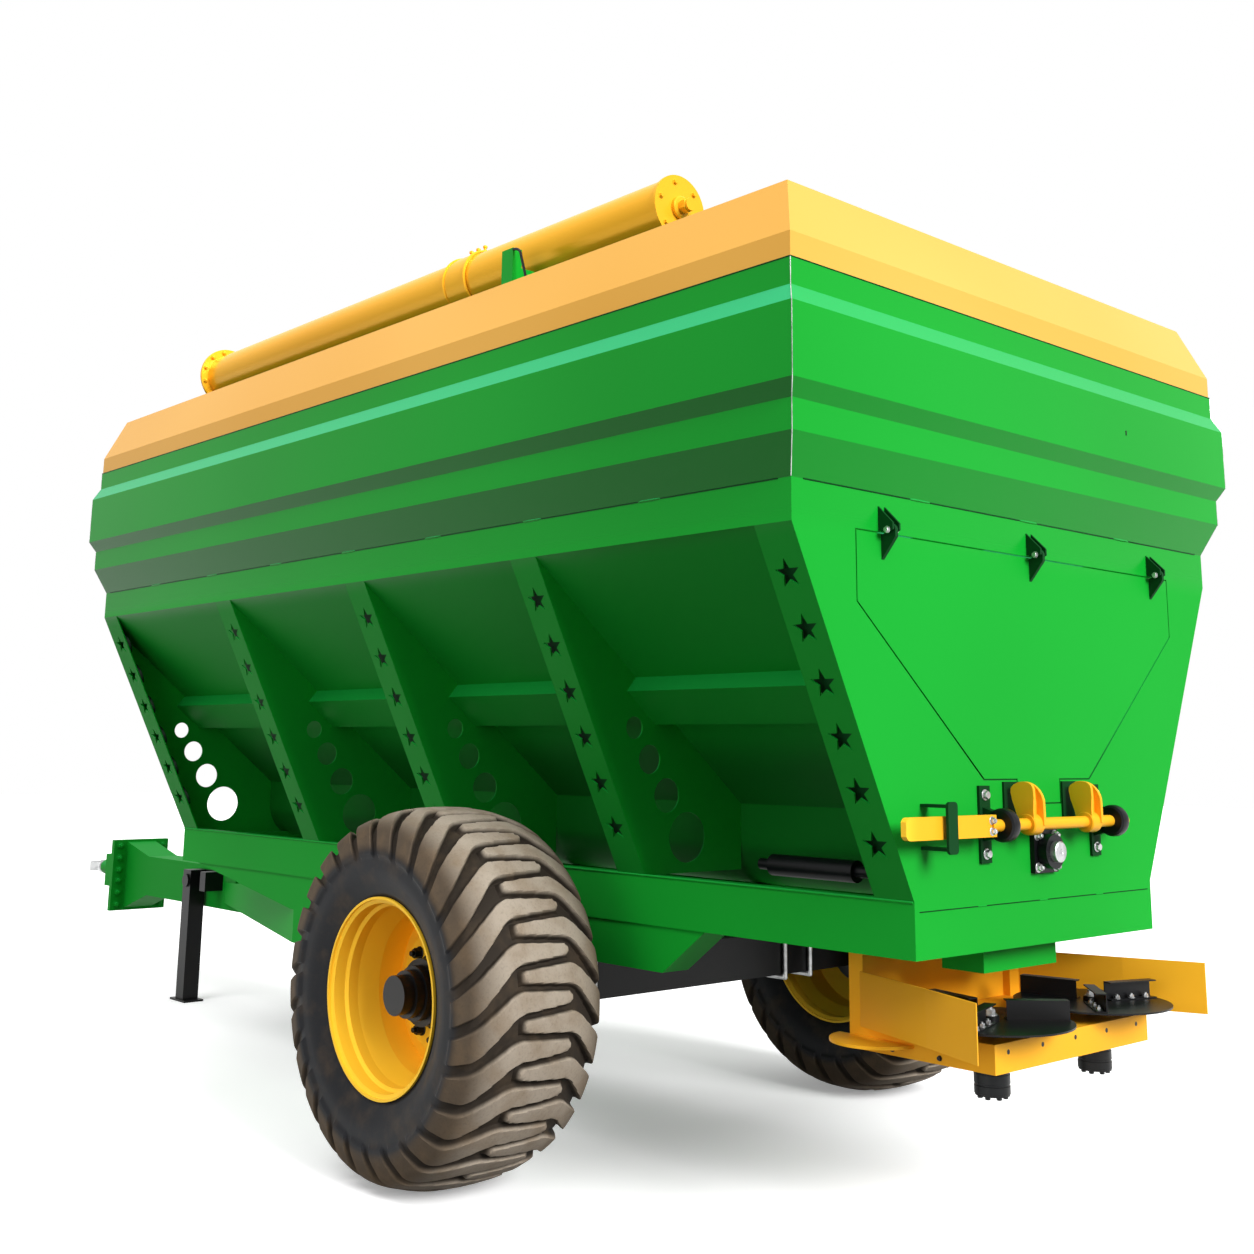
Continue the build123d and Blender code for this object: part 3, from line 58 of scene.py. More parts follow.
FORWARD, BACK = (1.0, 0.0, 0.0), (-1.0, 0.0, 0.0)
LEFT = (0.0, 1.0, 0.0)
UP, DOWN = (0.0, 0.0, 1.0), (0.0, 0.0, -1.0)
SIDES = (1.0, -1.0)

SMOOTH = {"interpolation_type": "SMOOTHSTEP"}


def linear(colour: str) -> tuple[float, float, float, float]:
    """Turn an sRGB hex colour into the linear values a shader socket takes.

    Args:
        colour: Six hex digits with a leading hash.

    Returns:
        Linear red, green and blue, and an alpha of one.
    """
    values = [int(colour[i : i + 2], 16) / 255 for i in (1, 3, 5)]
    spread = [v / 12.92 if v <= 0.04045 else ((v + 0.055) / 1.055) ** 2.4 for v in values]
    return (*spread, 1.0)


def placed(points: np.ndarray) -> np.ndarray:
    """Move points from the maker's datum in mm to the model's frame in metres.

    Args:
        points: Array (..., 3) in mm, x from the rear plate, z from the ground.

    Returns:
        Array of the same shape in metres.
    """
    return (np.asarray(points, dtype=float) - (X_MIDDLE, 0.0, 0.0)) * MM


class NodeWork:
    """Builds one node tree with a single add call."""

    def __init__(self, owner: bpy.types.Material | bpy.types.World) -> None:
        """Start an empty tree.

        Args:
            owner: Material or world that holds the tree.
        """
        owner.use_nodes = True
        self.tree = owner.node_tree
        self.tree.nodes.clear()

    def add(self, kind: str, inputs: dict | tuple = (), **settings: object) -> bpy.types.Node:
        """Add a node, set its options and fill its inputs.

        Args:
            kind: Node type without the ShaderNode prefix.
            inputs: Values in order, or by name or index. A node stands for its first live output.
            **settings: Node properties.

        Returns:
            The new node.
        """
        node = self.tree.nodes.new("ShaderNode" + kind)
        for key, value in settings.items():
            setattr(node, key, value)
        for key, value in inputs.items() if isinstance(inputs, dict) else enumerate(inputs):
            if isinstance(value, bpy.types.Node):
                value = next(socket for socket in value.outputs if socket.enabled)
            if isinstance(value, bpy.types.NodeSocket):
                self.tree.links.new(value, node.inputs[key])
            else:
                node.inputs[key].default_value = value
        return node

    def layer(self, under: object, over: object, *ranges: tuple) -> bpy.types.Node:
        """Lay one colour over another where several values all lie in their ranges.

        Each range gives a share that rises smoothly from its start to its end. The product of the
        shares is how much of the upper colour shows.

        Args:
            under: Lower colour, as hex digits or a node.
            over: Upper colour, as hex digits or a node.
            *ranges: Value, start and end, then the shares there if they aren't 0 and 1.

        Returns:
            The mixed colour's node.
        """
        share = self.add("MapRange", ranges[0], **SMOOTH)
        for span in ranges[1:]:
            share = self.add("Math", (share, self.add("MapRange", span, **SMOOTH)), operation="MULTIPLY")
        under, over = (linear(part) if isinstance(part, str) else part for part in (under, over))
        return self.add("Mix", {0: share, 6: under, 7: over}, data_type="RGBA")

    def shown(self) -> bpy.types.Node:
        """Find the rays that reach the lens straight, by a reflection or through glass.

        Returns:
            A node that gives one for such a ray and zero for any other.
        """
        path = self.add("LightPath").outputs
        straight = self.add("Math", (path["Is Camera Ray"], path["Is Glossy Ray"]), operation="MAXIMUM")
        return self.add("Math", (straight, path["Is Transmission Ray"]), operation="MAXIMUM")


@dataclass(frozen=True)
class Enamel:
    """Enamel sprayed on steel sheet: an even colour with a slow drift and a soft gloss.

    The upper walls are glossy and the rest is duller. Folds that face the sky get a pale painted sheen, a
    painted reflection of the sky, and undersides and the bays between the ribs get painted shade. The sheen
    and the shade under folds are weaker on the ends, which the key lamp lights, and the bays' shade is on
    the long sides only.
    Dust gathers near the ground. A turn is a part of a face's direction, and the other ranges are places in
    metres. Each runs from none of its effect to all of it.
    """

    name: str
    colour: str
    deep: str
    rough: float = 0.24
    shine: float = 0.1
    metal: float = 0.05
    dull: float = 0.6
    gloss_rise: Range = (2.18, 2.3)
    dust: float = 0.35
    dust_drop: Range = (1.1, 0.15)
    dust_colour: str = "#8F7A5C"
    # Painted light: a pale sheen on folds that face up stands in for the sky's reflection, and painted shade
    # darkens the folds' undersides.
    sky_sheen: float = 0.0
    sky_sheen_low: float = 0.0
    sky_sheen_colour: str = "#2EBE80"
    shade_low: float = 0.0
    shade_high: float = 0.0
    shaded: str = "#021507"
    # The ends take a smaller share of the painted sheen and shade, as the key lamp lights them; the bay
    # share is painted shade between the ribs.
    end_share: float = 0.4
    bay_shade: float = 0.0
    wheel_colour: str = ""
    drift_mm: float = 1400.0
    grime_mm: float = 220.0
    side_turn: Range = (0.3, 0.6)
    sky_turn: Range = (0.2, 0.45)
    under_turn: Range = (-0.1, -0.39)
    bay_depth: Range = (0.7, 0.42)
    bay_top: Range = (1.75, 1.45)
    bay_foot: Range = (1.0, 1.1)
    wheel_out: Range = (0.8, 0.9)
    wheel_top: Range = (1.5, 1.4)

    def make(self) -> bpy.types.Material:
        """Build the paint, layer by layer.

        Returns:
            The material.
        """
        material = bpy.data.materials.new(self.name)
        work = NodeWork(material)
        chart = work.add("TexCoord").outputs
        spot = chart["Object"]
        # A noise scale counts patches to the metre, so it is 1000 over a patch's size in mm.
        drift, grime = (
            work.add("TexNoise", {"Vector": spot, "Scale": 1000.0 / size, "Detail": fine, "Roughness": part})
            for size, fine, part in ((self.drift_mm, 1.0, 0.55), (self.grime_mm, 3.0, 0.5))
        )
        place, facing = (work.add("SeparateXYZ", (chart[kind],)).outputs for kind in ("Object", "Normal"))
        across, aside = (work.add("Math", (way["Y"],), operation="ABSOLUTE") for way in (place, facing))
        height, lean = place["Z"], facing["Z"]
        layers = [(self.deep, (drift, 0.2, 0.8))]
        # Painted light: a pale sheen on folds that face the sky, and painted shade under folds and in the
        # bays between the ribs. The sheen and the shade under folds are weaker on the ends, and the bays'
        # shade is on the long sides only.
        if self.sky_sheen:
            flank = (aside, *self.side_turn, self.end_share, 1.0)
            sky_sheen_range = (height, *self.gloss_rise, self.sky_sheen_low, self.sky_sheen)
            shading = (height, *self.gloss_rise, self.shade_low, self.shade_high)
            bay_shading = (across, *self.bay_depth, 0.0, self.bay_shade)
            bay = ((height, *self.bay_top), (height, *self.bay_foot), (aside, *self.side_turn))
            layers.append((self.sky_sheen_colour, sky_sheen_range, (lean, *self.sky_turn), flank))
            layers.append((self.shaded, shading, (lean, *self.under_turn), flank))
            layers.append((self.shaded, bay_shading, *bay))
        if self.wheel_colour:
            layers.append((self.wheel_colour, (across, *self.wheel_out), (height, *self.wheel_top)))
        layers.append((self.dust_colour, (height, *self.dust_drop, 0.0, self.dust), (grime, 0.3, 0.75)))
        paint = self.colour
        for over, *ranges in layers:
            paint = work.layer(paint, over, *ranges)
        rough = work.add("MapRange", (height, *self.gloss_rise, self.dull, self.rough), **SMOOTH)
        inputs = {"Base Color": paint, "Metallic": self.metal, "Roughness": rough}
        inputs["Specular IOR Level"] = self.shine
        work.add("OutputMaterial", (work.add("BsdfPrincipled", inputs),))
        return material


@dataclass(frozen=True)
class PlatedSteel:
    """Zinc-plated or bare steel with dull patches and a fine mottle."""

    name: str
    colour: str
    dull: str
    rough: float = 0.34
    grain_mm: float = 6.0
    patch_mm: float = 60.0
    bump_m: float = 0.0004

    def make(self) -> bpy.types.Material:
        """Build the metal.

        Returns:
            The material.
        """
        material = bpy.data.materials.new(self.name)
        work = NodeWork(material)
        spot = work.add("TexCoord").outputs["Object"]
        # The grain is drawn coarser than it is, so that it shows.
        grain, patch = (
            work.add("TexNoise", {"Vector": spot, "Scale": 1000.0 / size, "Detail": fine, "Roughness": part})
            for size, fine, part in ((self.grain_mm, 5.0, 0.7), (self.patch_mm, 4.0, 0.55))
        )
        colour = work.layer(self.colour, self.dull, (patch, 0.4, 0.7))
        rough = work.add("MapRange", (grain, 0.25, 0.8, self.rough - 0.08, self.rough + 0.2), **SMOOTH)
        bump = work.add("Bump", {"Strength": 0.1, "Distance": self.bump_m, "Height": grain})
        inputs = {"Base Color": colour, "Metallic": 0.9, "Roughness": rough, "Normal": bump}
        work.add("OutputMaterial", (work.add("BsdfPrincipled", inputs),))
        return material


@dataclass(frozen=True)
class TyreRubber:
    """Moulded tyre rubber in use: pale bar tops, earthy shoulders, dark grooves and sidewalls."""

    name: str
    top: str = "#968B7D"
    shoulder: str = "#51463A"
    groove: str = "#2A241E"
    wall: str = "#191A1D"
    soil: str = "#6E5B45"
    speck_mm: float = 9.0
    cloud_mm: float = 110.0
    bump_m: float = 0.001

    def make(self) -> bpy.types.Material:
        """Build the rubber from the tread map: lift above the groove floor by place across the section.

        Returns:
            The material.
        """
        material = bpy.data.materials.new(self.name)
        work = NodeWork(material)
        chart = work.add("TexCoord").outputs
        spot = chart["Object"]
        tread = work.add("SeparateXYZ", (chart["UV"],)).outputs
        middle = work.add("Math", (tread["Y"], 0.5), operation="SUBTRACT")
        away = work.add("Math", (middle,), operation="ABSOLUTE")
        # The grit is drawn coarser than it is, so that it shows.
        speck, cloud = (
            work.add("TexNoise", {"Vector": spot, "Scale": 1000.0 / size, "Detail": fine, "Roughness": part})
            for size, fine, part in ((self.speck_mm, 5.0, 0.7), (self.cloud_mm, 5.0, 0.55))
        )
        worn = work.layer(self.shoulder, self.top, (away, 0.19, 0.09))
        worn = work.layer(worn, self.soil, (cloud, 0.35, 0.75, 0.0, 0.4))
        colour = work.layer(self.groove, worn, (tread["X"], 0.35, 1.0))
        colour = work.layer(colour, self.wall, (away, 0.235, 0.3))
        colour = work.layer(colour, self.soil, (cloud, 0.45, 0.8, 0.0, 0.22))
        colour = work.layer(colour, self.groove, (speck, 0.45, 0.75, 0.0, 0.22))
        rough = work.add("MapRange", (away, 0.2, 0.32, 0.78, 0.52), **SMOOTH)
        bump = work.add("Bump", {"Strength": 0.3, "Distance": self.bump_m, "Height": speck})
        inputs = {"Base Color": colour, "Roughness": rough, "Specular IOR Level": 0.12, "Normal": bump}
        work.add("OutputMaterial", (work.add("BsdfPrincipled", inputs),))
        return material


@dataclass(frozen=True)
class StudioFloor:
    """Matt white sheet that keeps the object's shadow, and throws little light back up at it."""

    name: str
    colour: str = WHITE
    bounce: str = "#3A3A3A"
    glow: float = 0.26

    def make(self) -> bpy.types.Material:
        """Build the floor's paint.

        Returns:
            The material.
        """
        material = bpy.data.materials.new(self.name)
        work = NodeWork(material)
        white = work.add("BsdfDiffuse", {"Color": linear(self.colour)})
        glow = work.add("Emission", {"Color": linear(WHITE), "Strength": self.glow})
        grey = work.add("BsdfDiffuse", {"Color": linear(self.bounce)})
        sheet = work.add("MixShader", (work.shown(), grey, work.add("AddShader", (white, glow))))
        work.add("OutputMaterial", (sheet,))
        return material


class Body(Enum):
    """Moving bodies that pieces ride on."""

    CHASSIS = "chassis"
    LEFT_WHEEL = "left_wheel"
    RIGHT_WHEEL = "right_wheel"
    LEFT_SPINNER = "left_spinner"
    RIGHT_SPINNER = "right_spinner"
    SCREW = "conveyor_screw"
    AUGER = "folding_auger"


class Slot(Enum):
    """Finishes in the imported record."""

    GREEN = "green_paint"
    RIM = "rim_yellow"
    UNIT = "unit_yellow"
    BLACK = "black_paint"
    STEEL = "bare_steel"
    TYRE = "tyre"
    DARK = "dark_pad"


FINISHES: dict[Slot, Enamel | PlatedSteel | TyreRubber] = {
    # Sprayed enamel on folded sheet: a clear green with a soft gloss, with a pale painted sheen for the
    # sky's reflection on folds that face up, and painted shade under them and between the ribs.
    Slot.GREEN: Enamel(
        "green_enamel",
        "#10A02C",
        "#0E9628",
        dust=0.0,
        sky_sheen=0.75,
        sky_sheen_low=0.14,
        shade_low=0.32,
        shade_high=0.55,
        bay_shade=0.55,
    ),
    # Sprayed enamel on the hopper's rim: a warm ochre, flat and even.
    Slot.RIM: Enamel("ochre_enamel", "#EDB352", "#E6A945", metal=0.1, dust=0.0),
    # Sprayed enamel on the spreading unit, lock and auger: a strong yellow, brighter on the wheels.
    Slot.UNIT: Enamel(
        "yellow_enamel", "#F9B82A", "#F0AA20", metal=0.15, dull=0.45, dust=0.05, wheel_colour="#FFCB34"
    ),
    # Sprayed enamel on turned and bolted pieces: near black with a thin grey sheen.
    Slot.BLACK: Enamel(
        "black_enamel", "#0D0F12", "#08090B", rough=0.34, shine=0.18, metal=0.0, dull=0.36, dust=0.03
    ),
    # Zinc-plated steel: pale grey, with a mottle that breaks up its reflections.
    Slot.STEEL: PlatedSteel("plated_steel", "#BFC0C0", "#8E8F90"),
    # Moulded rubber: brown-grey bar tops, dark grooves and dull black sidewalls.
    Slot.TYRE: TyreRubber("tyre_rubber"),
    # Dark green enamel on brackets, hinges and pads: close to black, with hardly any shine.
    Slot.DARK: Enamel("dark_enamel", "#0B421C", "#083415", rough=0.42, metal=0.0, shine=0.06, dust=0.0),
}


@dataclass
class Surface:
    """Points and four-sided faces of one piece, in mm from the maker's datum."""

    points: np.ndarray
    quads: np.ndarray

    @staticmethod
    def grid(points: np.ndarray, close_rows: bool = False, close_cols: bool = False) -> "Surface":
        """Join a grid of points into quads.

        Args:
            points: Array (rows, cols, 3).
            close_rows: Whether the last row joins the first.
            close_cols: Whether the last column joins the first.

        Returns:
            The surface.
        """
        rows, cols = points.shape[:2]
        index = np.arange(rows * cols).reshape(rows, cols)
        down = np.roll(index, -1, 0)
        across = np.roll(index, -1, 1)
        both = np.roll(down, -1, 1)
        quads = np.stack([index, across, both, down], axis=-1)
        quads = quads[: rows if close_rows else rows - 1, : cols if close_cols else cols - 1]
        return Surface(points.reshape(-1, 3), quads.reshape(-1, 4))

    @staticmethod
    def join(parts: list["Surface"]) -> "Surface":
        """Put several surfaces into one.

        Args:
            parts: Surfaces to join.

        Returns:
            One surface with all their faces.
        """
        starts = np.cumsum([0] + [len(part.points) for part in parts[:-1]])
        quads = [part.quads + start for part, start in zip(parts, starts)]
        return Surface(np.concatenate([part.points for part in parts]), np.concatenate(quads))

    def laid(self, places: np.ndarray | list[Point], axis: Point) -> "Surface":
        """Repeat a surface made about the Z axis at several places.

        Args:
            places: Origins, as an array (count, 3) or a list.
            axis: Direction that Z turns to.

        Returns:
            One surface with a copy at each place.
        """
        ahead = np.asarray(axis, dtype=float) / np.linalg.norm(axis)
        helper = np.array(UP if abs(ahead[2]) < 0.9 else LEFT)
        side = np.cross(helper, ahead)
        side /= np.linalg.norm(side)
        basis = np.stack([side, np.cross(ahead, side), ahead])
        turned = self.points @ basis
        origins = np.asarray(places, dtype=float).reshape(-1, 1, 3)
        points = (turned[None] + origins).reshape(-1, 3)
        steps = np.arange(len(origins)).reshape(-1, 1, 1) * len(self.points)
        return Surface(points, (self.quads[None] + steps).reshape(-1, 4))


def turned(rows: list[tuple[float, ...]], cols: int = 24) -> Surface:
    """Turned piece about Z: radius by height, from round to six-sided.

    At angle a a round row keeps its radius r; a six-sided row has the flat's distance r divided by
    the cosine of the angle to the nearest flat's middle.

    Args:
        rows: (radius, height) from foot to top, then the sixness if it isn't 0, with 1 for a hexagon.
        cols: Points around.

    Returns:
        The surface.
    """
    table = np.array([(*row, 0.0)[:3] for row in rows], dtype=float)
    angle = np.arange(cols) * 2 * np.pi / cols
    flat = 1.0 / np.cos((angle + np.pi / 6) % (np.pi / 3) - np.pi / 6)
    swell = 1.0 + table[:, 2:3] * (flat[None] - 1.0)
    radius = table[:, 0:1] * swell
    height = np.repeat(table[:, 1:2], cols, axis=1)
    points = np.stack([radius * np.cos(angle), radius * np.sin(angle), height], axis=-1)
    return Surface.grid(points, close_cols=True)


def stub(radius: float, half: float, bevel: Range, cols: int) -> Surface:
    """Round bar about Z with bevelled ends, as long to each side of zero.

    Args:
        radius: Its radius.
        half: Half of its length.
        bevel: How far the bevel goes in and along.
        cols: Points around.

    Returns:
        The surface.
    """
    end, start = radius - bevel[0], half - bevel[1]
    rows = [(0, -half), (end, -half), (radius, -start), (radius, start), (end, half), (0, half)]
    return turned(rows, cols)


def swept(path: np.ndarray, radius: np.ndarray | float, cols: int = 10) -> Surface:
    """Round bar along a line: each section is a circle square to the line's direction there.

    Args:
        path: Array (count, 3) of points along the line.
        radius: Radius at each point, or one for all.
        cols: Points around.

    Returns:
        The surface, closed at both ends.
    """
    path = np.asarray(path, dtype=float)
    ahead = np.gradient(path, axis=0)
    ahead /= np.linalg.norm(ahead, axis=1, keepdims=True)
    helper = np.array([0.17, 0.31, 0.93])
    side = np.cross(ahead, helper)
    side /= np.linalg.norm(side, axis=1, keepdims=True)
    up = np.cross(ahead, side)
    angle = np.arange(cols) * 2 * np.pi / cols
    ring = np.cos(angle)[None, :, None] * side[:, None] + np.sin(angle)[None, :, None] * up[:, None]
    reach = np.concatenate([[0.0], np.broadcast_to(radius, len(path)), [0.0]])
    line = np.concatenate([path[:1], path, path[-1:]])
    ring = np.concatenate([ring[:1], ring, ring[-1:]])
    return Surface.grid(line[:, None] + reach[:, None, None] * ring, close_cols=True)


def ribbon(spine: np.ndarray, half: np.ndarray | float, thick: float, across: Point) -> Surface:
    """Flat bar along a plane line: each section is a rectangle square to the line's direction there.

    Args:
        spine: Array (count, 3) of points along the line.
        half: Half of the bar's width in the line's plane, at each point or one for all.
        thick: Thickness square to that plane.
        across: Direction square to that plane.

    Returns:
        The surface, closed at both ends.
    """
    ahead = np.gradient(spine, axis=0)
    ahead /= np.linalg.norm(ahead, axis=1, keepdims=True)
    flank = np.asarray(across, dtype=float)
    wide = np.cross(flank, ahead) * np.broadcast_to(half, len(spine))[:, None]
    signs = np.array([(1.0, -0.5), (1.0, 0.5), (-1.0, 0.5), (-1.0, -0.5)])
    ring = spine[:, None] + signs[None, :, :1] * wide[:, None] + thick * signs[None, :, 1:] * flank
    caps = np.repeat(spine[[0, -1]][:, None], 4, axis=1)
    return Surface.grid(np.concatenate([caps[:1], ring, caps[1:]]), close_cols=True)


@dataclass
class Kit:
    """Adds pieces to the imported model."""

    materials: dict[Slot, bpy.types.Material]

    def add(
        self,
        name: str,
        surface: Surface,
        body: Body,
        slot: Slot,
        sharp: float = 32.0,
        stands_for: tuple[str, ...] = (),
        chart: np.ndarray | None = None,
    ) -> None:
        """Make one piece and let it ride on its body.

        Args:
            name: Piece name.
            surface: Its faces.
            body: Body it rides on.
            slot: Finish.
            sharp: Edge angle in degrees above which an edge stays sharp.
            stands_for: Solids it replaces.
            chart: Map coordinates of each point, if its finish needs them.
        """
        mesh = bpy.data.meshes.new(name)
        mesh.from_pydata(placed(surface.points).tolist(), [], surface.quads.tolist())
        mesh.validate()
        mesh.polygons.foreach_set("use_smooth", np.ones(len(mesh.polygons), dtype=bool))
        mesh.set_sharp_from_angle(angle=math.radians(sharp))
        if chart is not None:
            corners = np.empty(len(mesh.loops), dtype=np.int32)
            mesh.loops.foreach_get("vertex_index", corners)
            mesh.uv_layers.new(name="chart").data.foreach_set("uv", chart[corners].ravel())
        mesh.materials.append(self.materials[slot])
        piece = bpy.data.objects.new(name, mesh)
        bpy.context.scene.collection.objects.link(piece)
        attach(piece, body.value)
        if stands_for:
            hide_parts(*stands_for)
        log.info("%s: %d faces on %s", name, len(mesh.polygons), body.value)


@dataclass(frozen=True)
class Fastener:
    """Hexagon bolt head or nut on a washer, with its thread end if it is a nut."""

    across: float
    height: float
    washer: float
    stud: float = 0.0

    def surface(self) -> Surface:
        """Turn the washer and the chamfered hexagon in one go.

        Returns:
            The fastener about Z with its seat at zero.
        """
        flat = self.across / 2
        thick = self.across * 0.12
        top = thick + self.height
        rows = [
            (self.washer, -1.0),
            (self.washer, thick * 0.7),
            (self.washer * 0.94, thick),
            (flat, thick, 1.0),
            (flat, top - self.height * 0.18, 1.0),
            (flat * 0.93, top, 0.15),
        ]
        if self.stud:
            rod = flat * 0.58
            rows += [(rod, top), (rod, top + self.stud * 0.85), (rod * 0.75, top + self.stud)]
            top += self.stud
        rows.append((0.0, top))
        return turned(rows)


@dataclass(frozen=True)
class StitchedSeam:
    """Joint line between two sheets: dark runs of open gap with weld beads between them."""

    spacing: float = 640.0
    bead: float = 110.0
    gap_radius: float = 2.4
    bead_radius: float = 3.4
    ripple: float = 0.16
    ripple_pitch: float = 8.0

    def runs(self, start: np.ndarray, stop: np.ndarray) -> tuple[list[Surface], list[Surface]]:
        """Split a line into gap runs and beads; a bead's radius ripples along it and closes at its ends.

        Args:
            start: Line's start.
            stop: Line's end.

        Returns:
            Gap runs and weld beads.
        """
        span = float(np.linalg.norm(stop - start))
        ahead = (stop - start) / span
        count = max(1, round(span / self.spacing))
        pitch = span / count
        gaps, beads = [], []
        s = np.linspace(-0.5, 0.5, 31)
        wave = 1.0 + self.ripple * np.sin(s * self.bead * 2 * np.pi / self.ripple_pitch)
        radius = self.bead_radius * wave * np.sqrt(np.clip(1.0 - (2.0 * s) ** 6, 0.02, 1.0))
        for index in range(count):
            t = np.linspace(self.bead / 2, pitch - self.bead / 2, 24) + index * pitch
            gaps.append(swept(start + t[:, None] * ahead, self.gap_radius, 8))
            if index:
                beads.append(swept(start + (index * pitch + s * self.bead)[:, None] * ahead, radius, 8))
        return gaps, beads


@dataclass
class TreadTyre:
    """Flotation tyre: a section turned about the axle with slanted bars that meet over the crown.

    A point at section step q and arc s lies on the line between the groove floor and the bar top.
    Its share of the way up is one inside a bar, falling smoothly to zero over the flank width. The
    grid leans with the bars, so that its lines run along their edges. The lines of a section give
    shares of the rise and of the half width, one pair for each step from bead to crown.
    """

    name: str
    node: str
    body: Body
    side: int
    axle: Point
    radius: float = 667.0
    half: float = 300.0
    bead: float = 339.0
    bars: int = 26
    per_bar: int = 32
    per_step: int = 10
    full: float = 12.0
    flank: float = 8.0
    floor_line: Line = (
        (0, 0.813), (0.27, 0.955), (0.46, 0.968), (0.57, 0.95), (0.76, 0.87), (0.905, 0.42), (0.917, 0)
    )
    top_line: Line = (
        (0, 0.813), (0.27, 0.955), (0.46, 0.99), (0.585, 0.999), (0.86, 0.9), (0.985, 0.42), (1.0, 0)
    )
    lining_line: Line = (
        (0, 0.7), (0.4, 0.85), (0.7, 0.84), (0.8, 0.7), (0.84, 0.4), (0.85, 0.2), (0.85, 0)
    )
    bar_steps: tuple[float, ...] = (2.0, 3.0, 4.0, 5.0, 6.786)
    bar_rear: tuple[float, ...] = (-232.0, -216.0, -168.0, -14.0, 6.0)
    bar_front: tuple[float, ...] = (-120.0, -104.0, -50.0, 66.0, 50.0)
    bar_root: float = 0.25
    tip_run: float = 113.4
    tip_lean: float = 0.35
    rings: tuple[Point, ...] = ((0.35, 0.12, 1.0), (1.5, 0.05, 0.7), (1.75, 0.05, 0.7))
    ring_high: float = 2.5
    turn: float = math.pi - 58.0 / 667.0

    def section(self, line: Line, steps: np.ndarray) -> np.ndarray:
        """Radius and width at section steps from bead to bead, its corners rounded.

        Args:
            line: (rise, width) shares from bead to crown.
            steps: Section steps from bead to bead.

        Returns:
            Array (count, 2) of radius and y.
        """
        table = np.asarray(line, dtype=float)
        crown = self.full / 2
        near = np.minimum(steps, self.full - steps)
        knots = np.arange(len(table))
        spread = np.clip(near[:, None] + np.linspace(-0.3, 0.3, 7), 0.0, None)
        spread = np.where(spread > crown, self.full - spread, spread)
        rise, width = (np.interp(spread, knots, column).mean(axis=1) for column in table.T)
        reach = self.bead + rise * (self.radius - self.bead)
        return np.stack([reach, np.sign(crown - steps) * width * self.half], axis=-1)

    def edges(self, q: np.ndarray) -> tuple[np.ndarray, np.ndarray]:
        """Rear and front edge of a bar at section steps.

        Args:
            q: Section steps counted from the bar's own bead.

        Returns:
            Arcs of the two edges in mm.
        """
        around = q[..., None] + np.linspace(-0.2, 0.2, 5)
        rear = np.interp(around, self.bar_steps, self.bar_rear).mean(axis=-1)
        return rear, np.interp(around, self.bar_steps, self.bar_front).mean(axis=-1)

    def lift(self, q: np.ndarray, arc: np.ndarray, pitch: float) -> np.ndarray:
        """Share of the way from groove floor to bar top.

        Args:
            q: Section steps, counted from the bar's own bead.
            arc: Arc along the tread in mm.
            pitch: Arc from one bar to the next.

        Returns:
            Share from 0 to 1.
        """
        rear, front = self.edges(q)
        middle = (rear + front) / 2
        away = np.abs((arc - middle + pitch / 2) % pitch - pitch / 2)
        inside = (front - rear) / 2 - away
        tip = (self.bar_steps[-1] - q) * self.tip_run - away * self.tip_lean + self.flank
        share = np.clip(np.minimum(inside, tip) / self.flank + 0.5, 0.0, 1.0)
        return share * np.clip((q - self.bar_steps[0]) / self.bar_root, 0.0, 1.0)

    def build(self, kit: Kit) -> None:
        """Make the tyre in place of its solid.

        Args:
            kit: Piece maker.
        """
        full, crown, root = self.full, self.full / 2, self.bar_steps[0]
        pitch = 2 * np.pi * self.radius / self.bars
        inner_steps = np.linspace(root, full - root, 8 * self.per_step + 1)
        outer_steps = np.linspace(0.0, root, self.per_step + 2)
        steps = np.concatenate([outer_steps[:-1], inner_steps, full - outer_steps[-2::-1]])
        near = np.minimum(steps, full - steps)
        arcs = np.arange(self.bars * self.per_bar) * pitch / self.per_bar
        rear, front = self.edges(np.clip(near, root, crown))
        lean = (rear + front) / 2
        arc = arcs[None] + lean[:, None]
        q = np.repeat(steps[:, None], len(arcs), axis=1)
        share = np.maximum(self.lift(q, arc, pitch), self.lift(full - q, arc - pitch / 2, pitch))
        floor = self.section(self.floor_line, steps)[:, None]
        top = self.section(self.top_line, steps)[:, None]
        line = floor + share[..., None] * (top - floor)
        rings = sum(high * np.exp(-(((near - at) / wide) ** 2)) for at, wide, high in self.rings)
        line[..., 1] += (np.sign(crown - steps) * rings * self.ring_high)[:, None]
        lining = self.section(self.lining_line, np.linspace(full, 0.0, 9))
        inner = np.repeat(lining[:, None], len(arcs), axis=1)
        flat = np.zeros(len(lining))
        angle = (arcs[None] + np.concatenate([lean, flat])[:, None]) / self.radius + self.turn
        loop = np.concatenate([line, inner])
        x = self.axle[0] + loop[..., 0] * np.sin(angle)
        z = self.axle[2] + loop[..., 0] * np.cos(angle)
        y = self.side * (self.axle[1] + loop[..., 1])
        surface = Surface.grid(np.stack([x, y, z], axis=-1), close_rows=True, close_cols=True)
        raised = np.concatenate([share, np.zeros(inner.shape[:2])])
        across = np.concatenate([steps / full, flat])
        chart = np.stack([raised, np.repeat(across[:, None], len(arcs), axis=1)], axis=-1).reshape(-1, 2)
        kit.add(self.name, surface, self.body, Slot.TYRE, 36.0, (self.node,), chart)


